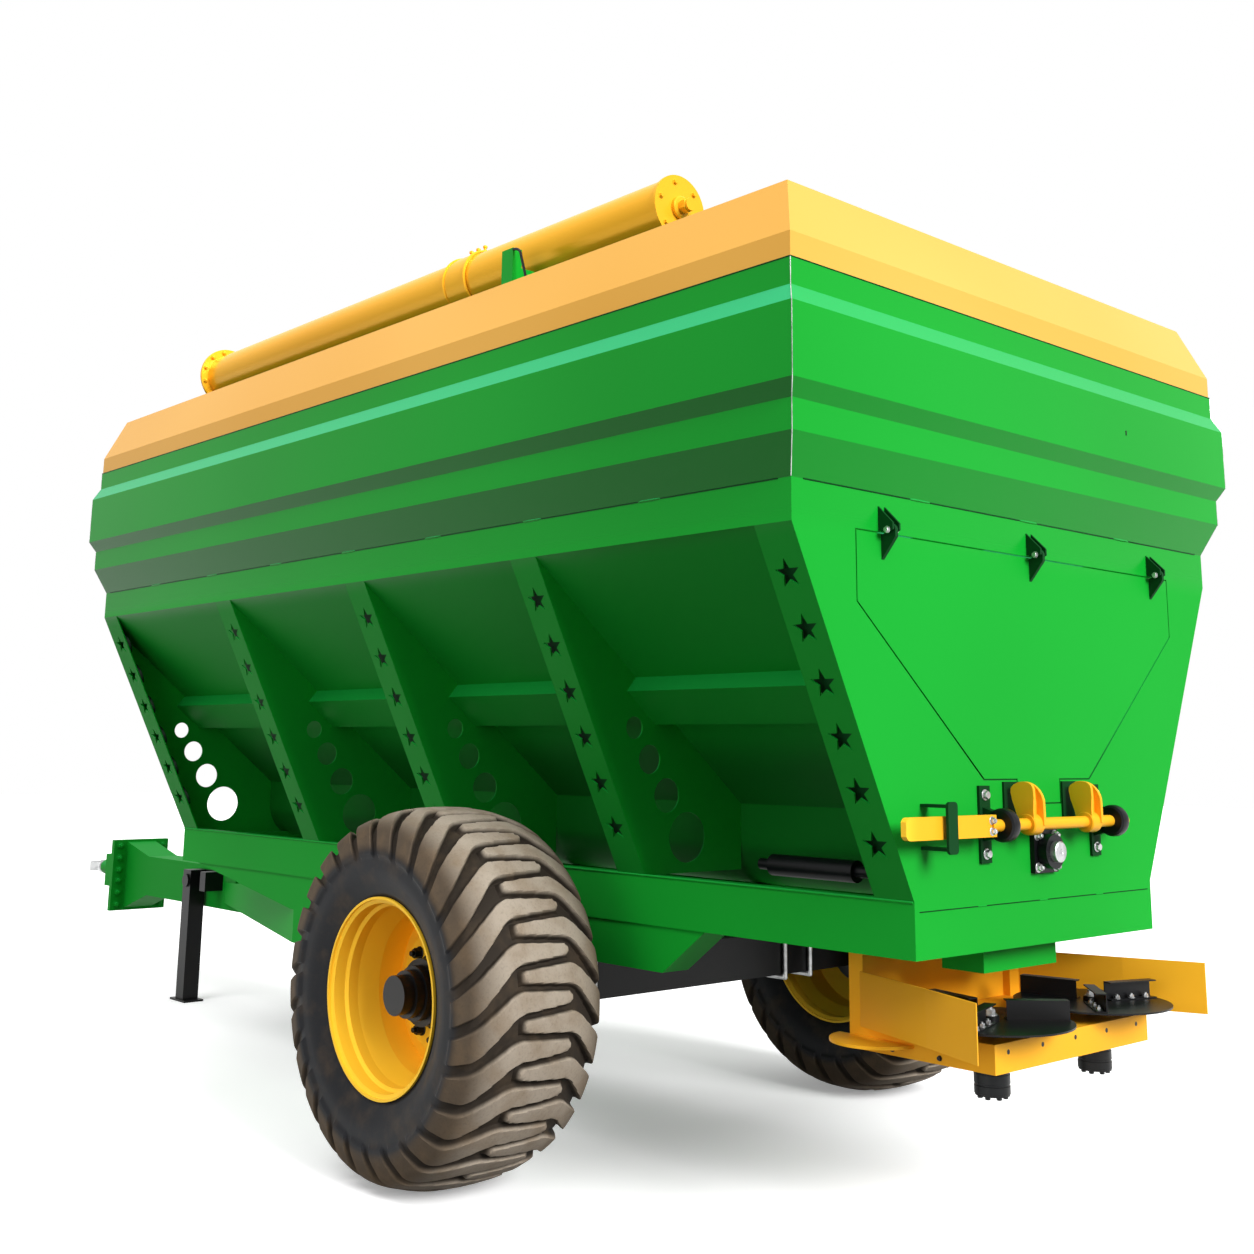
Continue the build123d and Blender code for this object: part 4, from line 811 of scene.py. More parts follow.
@dataclass
class WheelFittings:
    """Nuts of one wheel."""

    body: Body
    side: int
    axle: Point
    nuts: int = 10
    first: float = 0.2
    circle: float = 167.5
    face: float = 9.0

    def build(self, kit: Kit) -> None:
        """Set the nuts round the hub.

        Args:
            kit: Piece maker.
        """
        angle = np.arange(self.nuts) * 2 * np.pi / self.nuts + self.first
        x, y, z = self.axle
        out = np.full(self.nuts, self.side * (y + self.face))
        places = np.stack([x + self.circle * np.cos(angle), out, z + self.circle * np.sin(angle)], axis=-1)
        nut = Fastener(34.0, 26.0, 24.0, 14.0).surface().laid(places, (0.0, self.side, 0.0))
        kit.add(self.body.value + "_nuts", nut, self.body, Slot.BLACK)


@dataclass
class RearFittings:
    """Bolts, seam and shaft end on the rear plate, and the bolts of the front bearing."""

    length: float = 5060.0
    shaft_z: float = 1228.0
    shaft_end: float = -75.0
    bearing: float = 18.0
    bearing_bolt: float = 53.0
    seam_x: float = -0.2
    seam_z: float = 1065.0
    frame_half: float = 720.0
    hinge_x: float = -36.0
    hinge_z: float = 2252.0
    hinge_half: float = 20.5
    hinge_ys: tuple[float, ...] = (-840.0, 0.0, 840.0)
    strip_x: float = -10.0
    strip_y: float = 340.0
    strip_z: float = 1325.0
    strip_bolt: float = 95.0

    def build(self, kit: Kit) -> None:
        """Add everything on the rear.

        Args:
            kit: Piece maker.
        """
        reach = self.bearing_bolt
        corners = [(y, self.shaft_z + z) for y in (-reach, reach) for z in (-reach, reach)]
        bolt = Fastener(22.0, 12.0, 17.0, 8.0).surface()
        for name, x, way in (
            ("bearing_bolts", -self.bearing, BACK),
            ("front_bearing_bolts", self.length + self.bearing, FORWARD),
        ):
            kit.add(name, bolt.laid([(x, y, z) for y, z in corners], way), Body.CHASSIS, Slot.STEEL)
        face = turned([(35.2, -3), (35.2, 0), (31, 3), (11, 3), (7, -1), (0, -1)], 40)
        end = (self.shaft_end, 0.0, self.shaft_z)
        kit.add("shaft_face", face.laid([end], BACK), Body.SCREW, Slot.STEEL)
        pin = Fastener(17.0, 7.0, 12.0).surface()
        pins = []
        for side in SIDES:
            spots = [(self.hinge_x, y + side * self.hinge_half, self.hinge_z) for y in self.hinge_ys]
            pins.append(pin.laid(spots, (0.0, side, 0.0)))
        kit.add("hinge_bolts", Surface.join(pins), Body.CHASSIS, Slot.STEEL)
        spots = [
            (self.strip_x, y, self.strip_z + z)
            for y in (-self.strip_y, self.strip_y)
            for z in (-self.strip_bolt, self.strip_bolt)
        ]
        bolts = Fastener(24.0, 12.0, 18.0).surface().laid(spots, BACK)
        kit.add("clamp_bolts", bolts, Body.CHASSIS, Slot.STEEL)
        ends = [np.array([self.seam_x, y, self.seam_z]) for y in (-self.frame_half, self.frame_half)]
        gaps, beads = StitchedSeam(360.0, 50.0, 1.8, 2.6).runs(*ends)
        kit.add("rear_seam", Surface.join(gaps), Body.CHASSIS, Slot.DARK)
        kit.add("rear_welds", Surface.join(beads), Body.CHASSIS, Slot.GREEN)


@dataclass
class LockBar:
    """Lock shaft with two hooks, each a lug and a bent plate joined by a web, and the flat lever."""

    x: float = -80.0
    z: float = 1325.0
    end: float = 420.0
    radius: float = 20.0
    hook_y: float = 180.0
    hook_half: float = 28.0
    hook_lean: Range = (-8.0, -13.0)
    hook_rise: float = 70.0
    hook_bend: Range = (55.0, 54.0)
    hook_nose: float = 20.0
    hook_shares: tuple[float, ...] = (0.0, 0.45, 0.8, 0.97, 1.0)
    hook_halves: tuple[float, ...] = (32.0, 25.0, 16.0, 12.0, 7.0)
    eye: float = 36.0
    eye_half: float = 30.0
    plate: float = 13.0
    web: float = 34.0
    web_share: float = 0.45
    web_shift: Range = (10.0, -4.0)
    lug_reach: Range = (18.0, 136.0)
    lug_shares: tuple[float, ...] = (0.0, 0.3, 0.6, 0.8, 0.88, 0.94, 0.98, 1.0)
    lug_halves: tuple[float, ...] = (30.0, 33.0, 42.0, 44.0, 42.0, 36.0, 26.0, 16.0)
    lever_ends: Range = (395.0, 870.0)
    lever_half: float = 35.0
    lever_thick: float = 20.0
    lever_round: float = 26.0
    lever_bolt: Range = (26.0, 17.0)
    bracket_y: float = 340.0
    bracket_drop: float = 125.0
    bracket_half: float = 30.0
    bracket_arm: Range = (58.0, 40.0)
    bracket_sheet: float = 10.0
    keeper_y: float = 660.0
    keeper_half: float = 25.0
    keeper_high: float = 80.0
    keeper_front: float = -107.0
    keeper_arm: float = 14.0

    def hook_line(self) -> tuple[np.ndarray, np.ndarray]:
        """Middle line of a hook: straight up from the shaft, a quarter ellipse, and a short nose.

        Returns:
            Points in the plane of X and Z, and the half width there.
        """
        foot, back = self.x + self.hook_lean[0], self.x + self.hook_lean[1]
        top = self.z + self.hook_rise
        wide, high = self.hook_bend
        rise = np.linspace((foot, self.z), (back, top), 10)
        turn = np.linspace(np.pi, np.pi / 2, 16)[1:]
        arc = np.stack([back + wide + wide * np.cos(turn), top + high * np.sin(turn)], axis=-1)
        nose = np.linspace(arc[-1], arc[-1] + np.array([self.hook_nose, 0.0]), 5)[1:]
        line = np.concatenate([rise, arc, nose])
        length = np.append(0.0, np.cumsum(np.linalg.norm(np.diff(line, axis=0), axis=1)))
        return line, np.interp(length / length[-1], self.hook_shares, self.hook_halves)

    def hook(self, y: float) -> list[Surface]:
        """Make one hook: its collar, bent plate, lug and web.

        Args:
            y: Its middle across the machine.

        Returns:
            The four surfaces.
        """
        line, half = self.hook_line()
        offset = self.hook_half - self.plate / 2
        plate = np.stack([line[:, 0], np.full(len(line), y - offset), line[:, 1]], axis=-1)
        ahead, above = self.lug_reach
        lug = np.linspace((self.x, y + offset, self.z), (self.x + ahead, y + offset, self.z + above), 40)
        swell = np.interp(np.linspace(0.0, 1.0, 40), self.lug_shares, self.lug_halves)
        x, z = (line + self.web_shift).T
        web = np.stack([x, np.full(len(line), y), z], axis=-1)
        return [
            stub(self.eye, self.eye_half, (4.0, 4.0), 40).laid([(self.x, y, self.z)], LEFT),
            ribbon(plate, half, self.plate, LEFT),
            ribbon(lug, swell, self.plate, LEFT),
            ribbon(web[:-4], half[:-4] * self.web_share, self.web, LEFT),
        ]

    def build(self, kit: Kit) -> None:
        """Add the shaft, hooks, lever, brackets and keeper.

        The lever's half width falls off near its end with the root of one less a cube.

        Args:
            kit: Piece maker.
        """
        parts = [stub(self.radius, self.end, (2.0, 3.0), 36).laid([(self.x, 0.0, self.z)], LEFT)]
        for y in (-self.hook_y, self.hook_y):
            parts += self.hook(y)
        y = np.linspace(*self.lever_ends, 60)
        tip = np.clip((y - y[-1] + self.lever_round) / self.lever_round, 0.0, 1.0)
        spine = np.stack([np.full(60, self.x), y, np.full(60, self.z)], axis=-1)
        reach = self.lever_half * np.sqrt(1.0 - 0.62 * tip**3)
        parts.append(ribbon(spine, reach, self.lever_thick, FORWARD))
        kit.add("lock_shaft", Surface.join(parts), Body.CHASSIS, Slot.UNIT, stands_for=("lock_bar",))
        along, apart = self.lever_bolt
        face = self.x - self.lever_thick / 2
        spots = [(face, self.lever_ends[0] + along, self.z + dz) for dz in (-apart, apart)]
        bolts = Fastener(18.0, 11.0, 14.0, 5.0).surface().laid(spots, BACK)
        kit.add("lever_bolts", bolts, Body.CHASSIS, Slot.STEEL)
        self.brackets(kit)

    def brackets(self, kit: Kit) -> None:
        """Add the two shaft brackets and the lever's keeper, all flat bars, and the round bosses.

        Args:
            kit: Piece maker.
        """
        sheet, drop = self.bracket_sheet, self.bracket_drop
        parts = []
        for y in (-self.bracket_y, self.bracket_y):
            spine = np.linspace((-sheet / 2, y, self.z - drop), (-sheet / 2, y, self.z + drop), 30)
            parts.append(ribbon(spine, self.bracket_half, sheet, FORWARD))
            spine = np.linspace((0.0, y, self.z), (self.x + self.radius, y, self.z), 8)
            parts.append(ribbon(spine, np.linspace(*self.bracket_arm, 8), self.bracket_half, LEFT))
        share = np.linspace(-1.0, 1.0, 40)
        front, high = self.keeper_front, self.keeper_high
        spine = np.stack([np.full(40, front), np.full(40, self.keeper_y), self.z + high * share], axis=-1)
        half = self.keeper_half * np.sqrt(1.0 - 0.7 * np.clip((np.abs(share) - 0.8) / 0.2, 0.0, 1.0) ** 3)
        parts.append(ribbon(spine, half, sheet, FORWARD))
        for z in (self.z - high + self.keeper_arm, self.z + high - self.keeper_arm):
            spine = np.linspace((front, self.keeper_y, z), (0.0, self.keeper_y, z), 8)
            parts.append(ribbon(spine, sheet / 2, 1.6 * self.keeper_half, LEFT))
        kit.add("lock_strips", Surface.join(parts), Body.CHASSIS, Slot.DARK, stands_for=("lock_brackets",))
        rows = [(0, -22), (46, -22), (53, -17), (55, -10), (55, 10), (53, 17), (46, 22), (0, 22)]
        spots = [(self.x, y, self.z) for y in (-self.bracket_y, self.bracket_y)]
        kit.add("lock_bosses", turned(rows, 48).laid(spots, LEFT), Body.CHASSIS, Slot.BLACK)


@dataclass
class WallFittings:
    """Hopper seams, the ribs' flanges with star cut-outs, dark discs behind the cut-outs as painted shade,
    and edge beads, pale on the corners as a painted highlight.
    """

    length: float = 5060.0
    half: float = 1275.0
    rim_z: float = 3050.0
    rim_out: float = 54.4
    rim_bead: float = 2.6
    waist_z: float = 2375.0
    waist_out: float = 0.6
    flank_top: float = 2240.0
    flank_foot: float = 1095.0
    frame_half: float = 720.0
    flange_starts: tuple[float, ...] = (6.0, 1239.7, 2398.44, 3592.6, 4904.0)
    flange: float = 150.0
    sheet: float = 6.0
    star_shares: tuple[float, ...] = (0.13, 0.274, 0.418, 0.562, 0.706, 0.85)
    star_tip: float = 52.0
    star_notch: float = 20.5
    shade_disc_radius: float = 62.0
    shade_disc_depth: float = 22.0
    drain: Point = (-82.0, -569.0, 2778.0)
    drain_half: float = 9.0
    wall_cut: float = 13.2
    rail_cut: float = 2.9
    rail_inset: float = 4.0
    wall_line: Line = (
        (0.0, 2377.0), (55.0, 2505.0), (55.0, 2605.0), (85.0, 2660.0),
        (85.0, 2900.0), (55.0, 2960.0), (55.0, 3048.0),
    )

    def ring(self, ahead: float, aside: float, z: float) -> np.ndarray:
        """Corners of a level line round the hopper.

        Args:
            ahead: How far it stands off the ends.
            aside: How far it stands off the long sides.
            z: Its height.

        Returns:
            Array (4, 3).
        """
        low, high, side = -ahead, self.length + ahead, self.half + aside
        return np.array([(low, -side, z), (low, side, z), (high, side, z), (high, -side, z)])

    def seams(self, kit: Kit) -> None:
        """Run the seams round the hopper.

        Args:
            kit: Piece maker.
        """
        rim = self.ring(self.rim_out, self.rim_out, self.rim_z)
        waist = self.ring(self.waist_out, 0.0, self.waist_z)
        lines, gaps, beads = [], [], []
        for start, stop in zip(rim, np.roll(rim, -1, 0)):
            lines.append(swept(np.linspace(start, stop, 60), self.rim_bead, 8))
        for start, stop in zip(waist, np.roll(waist, -1, 0)):
            found, welded = StitchedSeam().runs(start, stop)
            gaps += found
            beads += welded
        kit.add("rim_seam", Surface.join(lines + gaps), Body.CHASSIS, Slot.DARK)
        kit.add("waist_welds", Surface.join(beads), Body.CHASSIS, Slot.GREEN)

    def slope(self, side: float) -> tuple[np.ndarray, np.ndarray, np.ndarray, float]:
        """Lie of one V wall.

        Args:
            side: 1 for the left wall and -1 for the right one.

        Returns:
            Directions out of it and down it, the tops of its flanges' middles, and its length.
        """
        rise = self.flank_top - self.flank_foot
        run = self.half - self.frame_half
        span = math.hypot(rise, run)
        out = np.array([0.0, side * rise, -run]) / span
        down = np.array([0.0, -side * run, -rise]) / span
        tops = [(x + self.flange / 2, side * self.half, self.flank_top) for x in self.flange_starts]
        return out, down, np.array(tops), span

    def star_shade_discs(self, kit: Kit) -> None:
        """Close the star cut-outs from behind with dark discs along the flanges' slope, painted shade seen
        through the holes.

        Args:
            kit: Piece maker.
        """
        # Dark discs set back behind the cut-outs: painted shade seen through them.
        r = self.shade_disc_radius
        disc = turned([(0.0, -2.0), (r, -2.0), (r, 0.0), (0.0, 0.0)], 28)
        sets = []
        for side in SIDES:
            out, down, tops, span = self.slope(side)
            steps = np.outer(np.array(self.star_shares) * span, down) - out * (self.sheet + self.shade_disc_depth)
            sets.append(disc.laid(tops[:, None] + steps, tuple(out)))
        kit.add("star_shade_discs", Surface.join(sets), Body.CHASSIS, Slot.DARK)

    def star_cell(self, reach: float) -> Surface:
        """Piece of flange round one star, about Z with Y up the slope.

        The inner line is a star: its radius runs straight between tips and notches at ten equal
        angles. The outer line is the cell's rectangle, met along the same rays. Both are carried
        through the sheet.

        Args:
            reach: Half of the cell's height up the slope.

        Returns:
            The cell, its outer face at zero.
        """
        tips = np.pi / 2 + np.arange(10) * np.pi / 5
        corner = math.atan2(reach, self.flange / 2)
        angle = np.sort(np.append(tips, [corner, np.pi - corner, np.pi + corner, -corner]) % (2 * np.pi))
        sector = (angle - np.pi / 2) % (2 * np.pi / 5)
        part = np.minimum(sector, 2 * np.pi / 5 - sector)
        tip, notch, step = self.star_tip, self.star_notch, np.pi / 5
        star = tip * notch * np.sin(step) / (tip * np.sin(part) + notch * np.sin(step - part))
        box = np.minimum(
            self.flange / 2 / np.maximum(np.abs(np.cos(angle)), 1e-9),
            reach / np.maximum(np.abs(np.sin(angle)), 1e-9),
        )
        radius = np.stack([box, star, star, box])
        height = np.repeat(np.array([[0.0], [0.0], [-self.sheet], [-self.sheet]]), len(angle), axis=1)
        points = np.stack([radius * np.cos(angle), radius * np.sin(angle), height], axis=-1)
        return Surface.grid(points[::-1], close_rows=True, close_cols=True)

    def star_flanges(self, kit: Kit) -> None:
        """Make the sloping flanges with their star cut-outs.

        Each flange is a row of star cells between two plain ends, whose ends follow the wall and the
        rail: four corners of the sheet at one end are joined to four at the other.

        Args:
            kit: Piece maker.
        """
        shares = np.array(self.star_shares)
        deep = np.array([0.0, 0.0, -1.0, -1.0])
        sets = []
        for side in SIDES:
            out, down, tops, span = self.slope(side)
            reach = (shares[1] - shares[0]) * span / 2
            cell = self.star_cell(reach)
            first, last = shares[0] * span - reach, shares[-1] * span + reach
            wide = np.array([-0.5, 0.5, 0.5, -0.5]) * self.flange * side
            section = np.outer(wide, FORWARD) + np.outer(self.sheet * deep, out)
            for top in tops:
                sets.append(cell.laid(top + np.outer(shares * span, down), tuple(out)))
                for outer, inner in (
                    ((0.0, first), (self.wall_cut, first)),
                    ((last, span), (last, span + self.rail_cut)),
                ):
                    along = np.where(deep < 0, np.array(inner)[:, None], np.array(outer)[:, None])
                    ring = top + along[..., None] * down + section
                    caps = ring.mean(axis=1, keepdims=True).repeat(4, axis=1)
                    sets.append(Surface.grid(np.concatenate([caps[:1], ring, caps[1:]]), close_cols=True))
        kit.add("star_flanges", Surface.join(sets), Body.CHASSIS, Slot.GREEN, stands_for=("rib_flanges",))

    def edges(self, kit: Kit) -> None:
        """Run thin round beads along the rails' top edges and down the hopper's mitred corners; the corner
        beads are pale plated steel, a painted highlight.

        Each bead is a circle carried along a straight or stepped line, as is the black slit in the rear
        band, painted shade in its drain hole.

        Args:
            kit: Piece maker.
        """
        x = np.linspace(self.rail_inset, self.length - self.rail_inset, 40)
        z = np.full(40, self.flank_foot)
        y = np.full(40, self.frame_half)
        rails = [swept(np.stack([x, side * y, z], axis=-1), 5.0) for side in SIDES]
        kit.add("rail_beads", Surface.join(rails), Body.CHASSIS, Slot.GREEN)
        # The corner beads are pale plated steel: a painted highlight along the mitred corners.
        outs, heights = np.array(self.wall_line).T
        lines = []
        for side in SIDES:
            for x in (-outs, self.length + outs):
                line = np.stack([x, side * (self.half + outs), heights], axis=-1)
                lines.append(swept(line, 1.3, 8))
        kit.add("corner_highlight_beads", Surface.join(lines), Body.CHASSIS, Slot.STEEL)
        # A black slit: painted shade in the band's drain hole.
        slit = np.array(self.drain) + np.outer(np.linspace(-self.drain_half, self.drain_half, 9), UP)
        kit.add("band_drain_shade", swept(slit, 5.5), Body.CHASSIS, Slot.BLACK)

    def build(self, kit: Kit) -> None:
        """Add the seams, the flanges with the painted-shade discs behind their cut-outs, and the beads.

        Args:
            kit: Piece maker.
        """
        self.seams(kit)
        self.star_shade_discs(kit)
        self.star_flanges(kit)
        self.edges(kit)


@dataclass
class DiscFittings:
    """Bolts on one spreading disc and its motor."""

    body: Body
    side: int
    centre: Range = (20.0, 310.0)
    top: float = 703.0
    disc_thick: float = 4.0
    hub_high: float = 16.0
    vane_turn: float = -12.0
    vane_bolts: tuple[float, ...] = (95.0, 160.0, 225.0)
    vane_foot: float = 21.0
    motor_foot: float = 475.0
    motor_lip: float = 4.0
    motor_radius: float = 56.0
    motor_screws: int = 7
    motor_circle: float = 41.0

    def build(self, kit: Kit) -> None:
        """Add the vane bolts, the hub bolt, and the motor's screws and bands.

        Args:
            kit: Piece maker.
        """
        x, y = self.centre
        name = self.body.value
        turns = np.radians(self.vane_turn + 120.0 * np.arange(3))[:, None]
        along = np.array(self.vane_bolts)
        px = x + along * np.cos(turns) - self.vane_foot * np.sin(turns)
        py = y + along * np.sin(turns) + self.vane_foot * np.cos(turns)
        places = np.stack([px, self.side * py, np.full(px.shape, self.top + self.disc_thick)], axis=-1)
        bolt = Fastener(17.0, 9.0, 13.0, 5.0).surface()
        kit.add(name + "_vane_bolts", bolt.laid(places, UP), self.body, Slot.STEEL)
        hub = Fastener(30.0, 16.0, 24.0, 8.0).surface()
        y *= self.side
        kit.add(name + "_hub_bolt", hub.laid([(x, y, self.top + self.hub_high)], UP), self.body, Slot.STEEL)
        ring = np.arange(self.motor_screws) * 2 * np.pi / self.motor_screws
        reach, foot = self.motor_circle, np.full(self.motor_screws, self.motor_foot)
        under = np.stack([x + reach * np.cos(ring), y + reach * np.sin(ring), foot], axis=-1)
        screw = Fastener(15.0, 8.0, 10.0).surface()
        kit.add(name + "_motor_screws", screw.laid(under, DOWN), Body.CHASSIS, Slot.BLACK)
        steps = [(-2, 0), (2, 2), (2, 26), (-1, 28), (-1, 32), (2, 34), (2, 62), (-2, 64)]
        bands = turned([(self.motor_radius + step, z) for step, z in steps], 48)
        bands = bands.laid([(x, y, self.motor_foot + self.motor_lip)], UP)
        kit.add(name + "_motor_bands", bands, Body.CHASSIS, Slot.BLACK)


@dataclass
class UnitFittings:
    """Bolts, and black discs as painted shade in the holes, on the spreading unit's rails."""

    rear: float = -100.0
    half: float = 464.0
    hole_y: float = 390.0
    hole_z: float = 632.0
    bolt_xs: Range = (110.0, 300.0)
    bolt_z: float = 590.0

    def build(self, kit: Kit) -> None:
        """Add black discs on the rail as painted shade in its holes, and the guards' bolts.

        Args:
            kit: Piece maker.
        """
        # Black discs on the rail's face: painted shade in its holes.
        hole_shade = turned([(0.0, 0.3), (7.5, 0.3), (8.5, -0.5)], 20)
        places = [(self.rear, y, self.hole_z) for y in np.linspace(-self.hole_y, self.hole_y, 5)]
        kit.add("rail_hole_shades", hole_shade.laid(places, BACK), Body.CHASSIS, Slot.BLACK)
        bolt = Fastener(13.0, 6.0, 9.0).surface()
        sides = []
        for side in SIDES:
            spots = [(x, side * self.half, self.bolt_z) for x in self.bolt_xs]
            sides.append(bolt.laid(spots, (0.0, side, 0.0)))
        kit.add("side_rail_bolts", Surface.join(sides), Body.CHASSIS, Slot.BLACK)


@dataclass
class HitchFittings:
    """Flange bolts at the drawbar's head, the shank's sleeve, and nuts on the axle's U-bolts."""

    flange_rear: float = 7200.0
    flange_front: float = 7240.0
    bolt_y: float = 152.0
    bolt_zs: tuple[float, ...] = (475.0, 555.0, 635.0, 705.0, 785.0, 865.0)
    axle_x: float = 1800.0
    clamp_x: float = 102.0
    clamp_ys: Range = (562.0, 730.0)
    clamp_top: float = 791.0
    nose_end: float = 7520.0
    eye_z: float = 686.0

    def build(self, kit: Kit) -> None:
        """Add bolts, nuts and the painted sleeve on the tow eye's shank.

        Args:
            kit: Piece maker.
        """
        spots = [(y, z) for y in (-self.bolt_y, self.bolt_y) for z in self.bolt_zs]
        head = Fastener(30.0, 18.0, 23.0).surface()
        nut = Fastener(30.0, 20.0, 23.0, 10.0).surface()
        front = head.laid([(self.flange_front, y, z) for y, z in spots], FORWARD)
        back = nut.laid([(self.flange_rear, y, z) for y, z in spots], BACK)
        kit.add("flange_bolts", Surface.join([front, back]), Body.CHASSIS, Slot.GREEN)
        rows = [(70, -2), (70, 26), (62, 34), (50, 36), (50, 228), (47, 234), (44, 234)]
        sleeve = turned(rows, 40).laid([(self.nose_end, 0.0, self.eye_z)], FORWARD)
        kit.add("shank_sleeve", sleeve, Body.CHASSIS, Slot.GREEN)
        places = [
            (self.axle_x + dx, side * y, self.clamp_top)
            for dx in (-self.clamp_x, self.clamp_x)
            for y in self.clamp_ys
            for side in SIDES
        ]
        nuts = Fastener(33.0, 20.0, 24.0, 26.0).surface().laid(places, UP)
        kit.add("clamp_nuts", nuts, Body.CHASSIS, Slot.STEEL)


@dataclass
class AugerFittings:
    """Flange bolts, band rings, nipples and end nut on the folding auger, and the cradle's rod."""

    front: float = 4390.0
    flange: float = 18.0
    rear: float = 820.0
    cap: float = 12.0
    y: float = 970.0
    z: float = 3535.0
    tube: float = 119.5
    bolts: int = 12
    first: float = 0.26
    circle: float = 140.0
    cap_circle: float = 100.0
    band: Range = (2000.0, 2150.0)
    band_thick: float = 8.0
    nipple_inset: float = 25.0
    rod_start: Point = (1474.0, 1236.0, 3440.0)
    rod_bend: Range = (52.0, 38.0)
    rod_drop: Range = (34.0, 95.0)

    def build(self, kit: Kit) -> None:
        """Add everything on the auger, and the rod.

        The rod's line is a quarter ellipse and then a straight run down.

        Args:
            kit: Piece maker.
        """
        ring = np.arange(self.bolts) * 2 * np.pi / self.bolts + self.first
        circle = np.stack([np.zeros(self.bolts), np.cos(ring), np.sin(ring)], axis=-1)
        front = np.array([self.front - self.flange, self.y, self.z])
        rear = np.array([self.rear - self.cap, self.y, self.z])
        bolt = Fastener(20.0, 11.0, 15.0, 4.0).surface().laid(front + self.circle * circle, BACK)
        kit.add("auger_flange_bolts", bolt, Body.AUGER, Slot.UNIT)
        outer = self.tube + self.band_thick
        steps = [(-3, -5), (3, -5), (6, -2), (6, 2), (3, 5), (-3, 5)]
        hoop = turned([(outer + step, x) for step, x in steps], 64)
        hoops = hoop.laid([(x, self.y, self.z) for x in self.band], FORWARD)
        nipple = turned([(9, -6), (9, 16), (6, 18), (6, 24), (10, 26), (10, 34), (5, 38), (0, 38)], 20)
        xs = np.linspace(self.band[0] + self.nipple_inset, self.band[1] - self.nipple_inset, 3)
        nipples = nipple.laid([(x, self.y, self.z + outer) for x in xs], UP)
        kit.add("auger_band", Surface.join([hoops, nipples]), Body.AUGER, Slot.UNIT)
        small = Fastener(16.0, 8.0, 12.0).surface().laid(rear + self.cap_circle * circle[::2], BACK)
        rows = [(44, 0), (44, 14), (38, 18), (25, 18), (25, 30, 1), (25, 48, 1), (22, 52, 0.2), (0, 52)]
        end = turned(rows, 36).laid(rear, BACK)
        kit.add("auger_end", Surface.join([small, end]), Body.AUGER, Slot.UNIT)
        t = np.linspace(0.0, 2.0, 40)
        bend = np.minimum(t, 1.0) * np.pi / 2
        drop = np.maximum(t - 1.0, 0.0)
        shift = [-self.rod_bend[0] * np.sin(bend) - self.rod_drop[0] * drop, np.zeros(40)]
        shift.append(self.rod_bend[1] * np.cos(bend) - self.rod_drop[1] * drop)
        rod = swept(self.rod_start + np.stack(shift, axis=-1), 5.5, 12)
        kit.add("cradle_rod", rod, Body.CHASSIS, Slot.BLACK)


@dataclass(frozen=True)
class Lamp:
    """One lamp: a sun with its angle in degrees, or a square sheet with its edge length."""

    name: str
    kind: str
    energy: float
    place: Point
    aim: Point
    size: float

    def hang(self) -> None:
        """Hang the lamp and point it at its aim."""
        data = bpy.data.lights.new(self.name, self.kind)
        data.energy = self.energy
        if self.kind == "AREA":
            data.size = self.size
        else:
            data.angle = math.radians(self.size)
        lamp = bpy.data.objects.new(self.name, data)
        back = Vector(self.place) - Vector(self.aim)
        lamp.rotation_euler = back.to_track_quat("Z", "Y").to_euler()
        lamp.location = self.place
        bpy.context.scene.collection.objects.link(lamp)


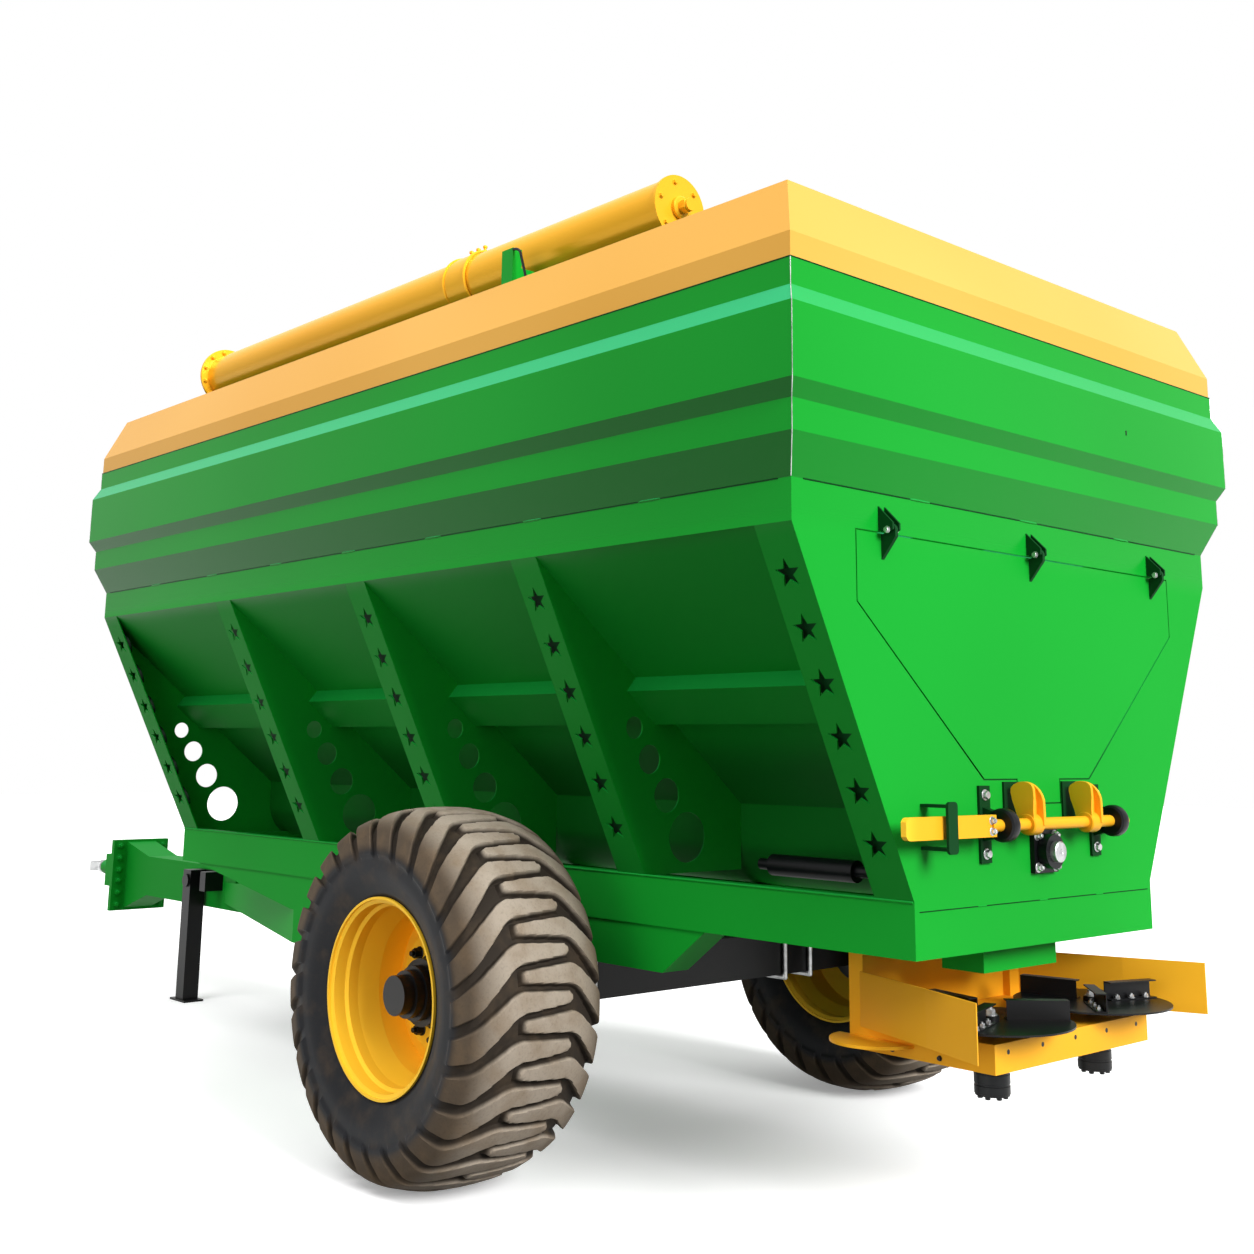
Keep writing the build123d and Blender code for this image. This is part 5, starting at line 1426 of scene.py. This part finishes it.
@dataclass
class Studio:
    """Floor, lamps, sky and camera."""

    floor_half: float = 40.0
    sky_levels: Range = (0.1, 1.2)
    camera_place: Point = (-6.774, 4.576, 1.552)
    yaw: float = -41.89
    pitch: float = 10.97
    roll: float = 0.65
    lens: float = 42.235
    sensor: float = 36.0
    shift_y: float = -0.129
    far: float = 200.0
    lamps: tuple[Lamp, ...] = (
        Lamp("key", "SUN", 4.5, (-9.0, 0.0, 6.0), (0.0, 0.0, 1.5), 28.0),
        Lamp("fill", "AREA", 560.0, (0.0, 8.0, 12.0), (0.0, 0.0, 1.5), 6.0),
        Lamp("low_fill", "AREA", 145.0, (-4.0, 9.0, 2.0), (-1.5, 0.0, 0.8), 4.0),
    )

    def floor(self) -> None:
        """Lay the floor as a flat sheet at the wheels' foot."""
        half = self.floor_half
        corners = [(-half, -half, 0.0), (half, -half, 0.0), (half, half, 0.0), (-half, half, 0.0)]
        mesh = bpy.data.meshes.new("floor")
        mesh.from_pydata(corners, [], [(0, 1, 2, 3)])
        floor = bpy.data.objects.new("floor", mesh)
        bpy.context.scene.collection.objects.link(floor)
        mesh.materials.append(StudioFloor("floor").make())

    def sky(self) -> None:
        """White sky: brighter light from above on the object, and plain white behind it."""
        world = bpy.data.worlds.new("studio_sky")
        bpy.context.scene.world = world
        work = NodeWork(world)
        ray = work.add("SeparateXYZ", (work.add("TexCoord").outputs["Generated"],)).outputs["Z"]
        level = work.add("MapRange", (ray, 0.0, 1.0, *self.sky_levels))
        light = work.add("Background", (linear(WHITE), level))
        seen = work.add("Background", (linear(WHITE), 1.0))
        work.add("OutputWorld", (work.add("MixShader", (work.shown(), light, seen)),))

    def camera(self) -> None:
        """Set the camera at the photograph's viewing angle."""
        yaw, pitch, roll = (math.radians(v) for v in (self.yaw, self.pitch, self.roll))
        level = math.cos(pitch)
        ahead = np.array([level * math.cos(yaw), level * math.sin(yaw), math.sin(pitch)])
        side = np.array([ahead[1], -ahead[0], 0.0])
        side /= np.linalg.norm(side)
        up = np.cross(side, ahead)
        right = math.cos(roll) * side + math.sin(roll) * up
        above = -math.sin(roll) * side + math.cos(roll) * up
        data = bpy.data.cameras.new("camera")
        data.lens = self.lens
        data.sensor_width = self.sensor
        data.shift_y = self.shift_y
        data.clip_end = self.far
        camera = bpy.data.objects.new("camera", data)
        axes = np.stack([right, above, -ahead, self.camera_place], axis=1)
        camera.matrix_world = Matrix([*axes.tolist(), (0.0, 0.0, 0.0, 1.0)])
        bpy.context.scene.collection.objects.link(camera)
        bpy.context.scene.camera = camera

    def build(self) -> None:
        """Put up floor, sky, lamps and camera."""
        self.floor()
        self.sky()
        for lamp in self.lamps:
            lamp.hang()
        self.camera()
        bpy.context.scene.view_settings.view_transform = "Standard"


def paint_nodes() -> dict[Slot, bpy.types.Material]:
    """Give every solid its finish.

    Returns:
        Materials by slot.
    """
    made = {slot: finish.make() for slot, finish in FINISHES.items()}
    for part in frame["record"]["subparts"]:
        solid = frame["nodes"][part["node"]]
        solid.data.materials.clear()
        solid.data.materials.append(made[Slot(part["material_slot"])])
    return made


AXLE = (1800.0, 1245.0, 667.0)


def main() -> None:
    """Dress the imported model."""
    logging.basicConfig(level=logging.INFO)
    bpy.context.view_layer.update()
    kit = Kit(paint_nodes())
    assemblies = [
        TreadTyre("tread_left", "tyre_left", Body.LEFT_WHEEL, 1, AXLE),
        TreadTyre("tread_right", "tyre_right", Body.RIGHT_WHEEL, -1, AXLE),
        WheelFittings(Body.LEFT_WHEEL, 1, AXLE),
        WheelFittings(Body.RIGHT_WHEEL, -1, AXLE),
        RearFittings(),
        LockBar(),
        WallFittings(),
        DiscFittings(Body.LEFT_SPINNER, 1),
        DiscFittings(Body.RIGHT_SPINNER, -1),
        UnitFittings(),
        HitchFittings(),
        AugerFittings(),
    ]
    for assembly in assemblies:
        assembly.build(kit)
    Studio().build()


if __name__ == "__main__":
    main()
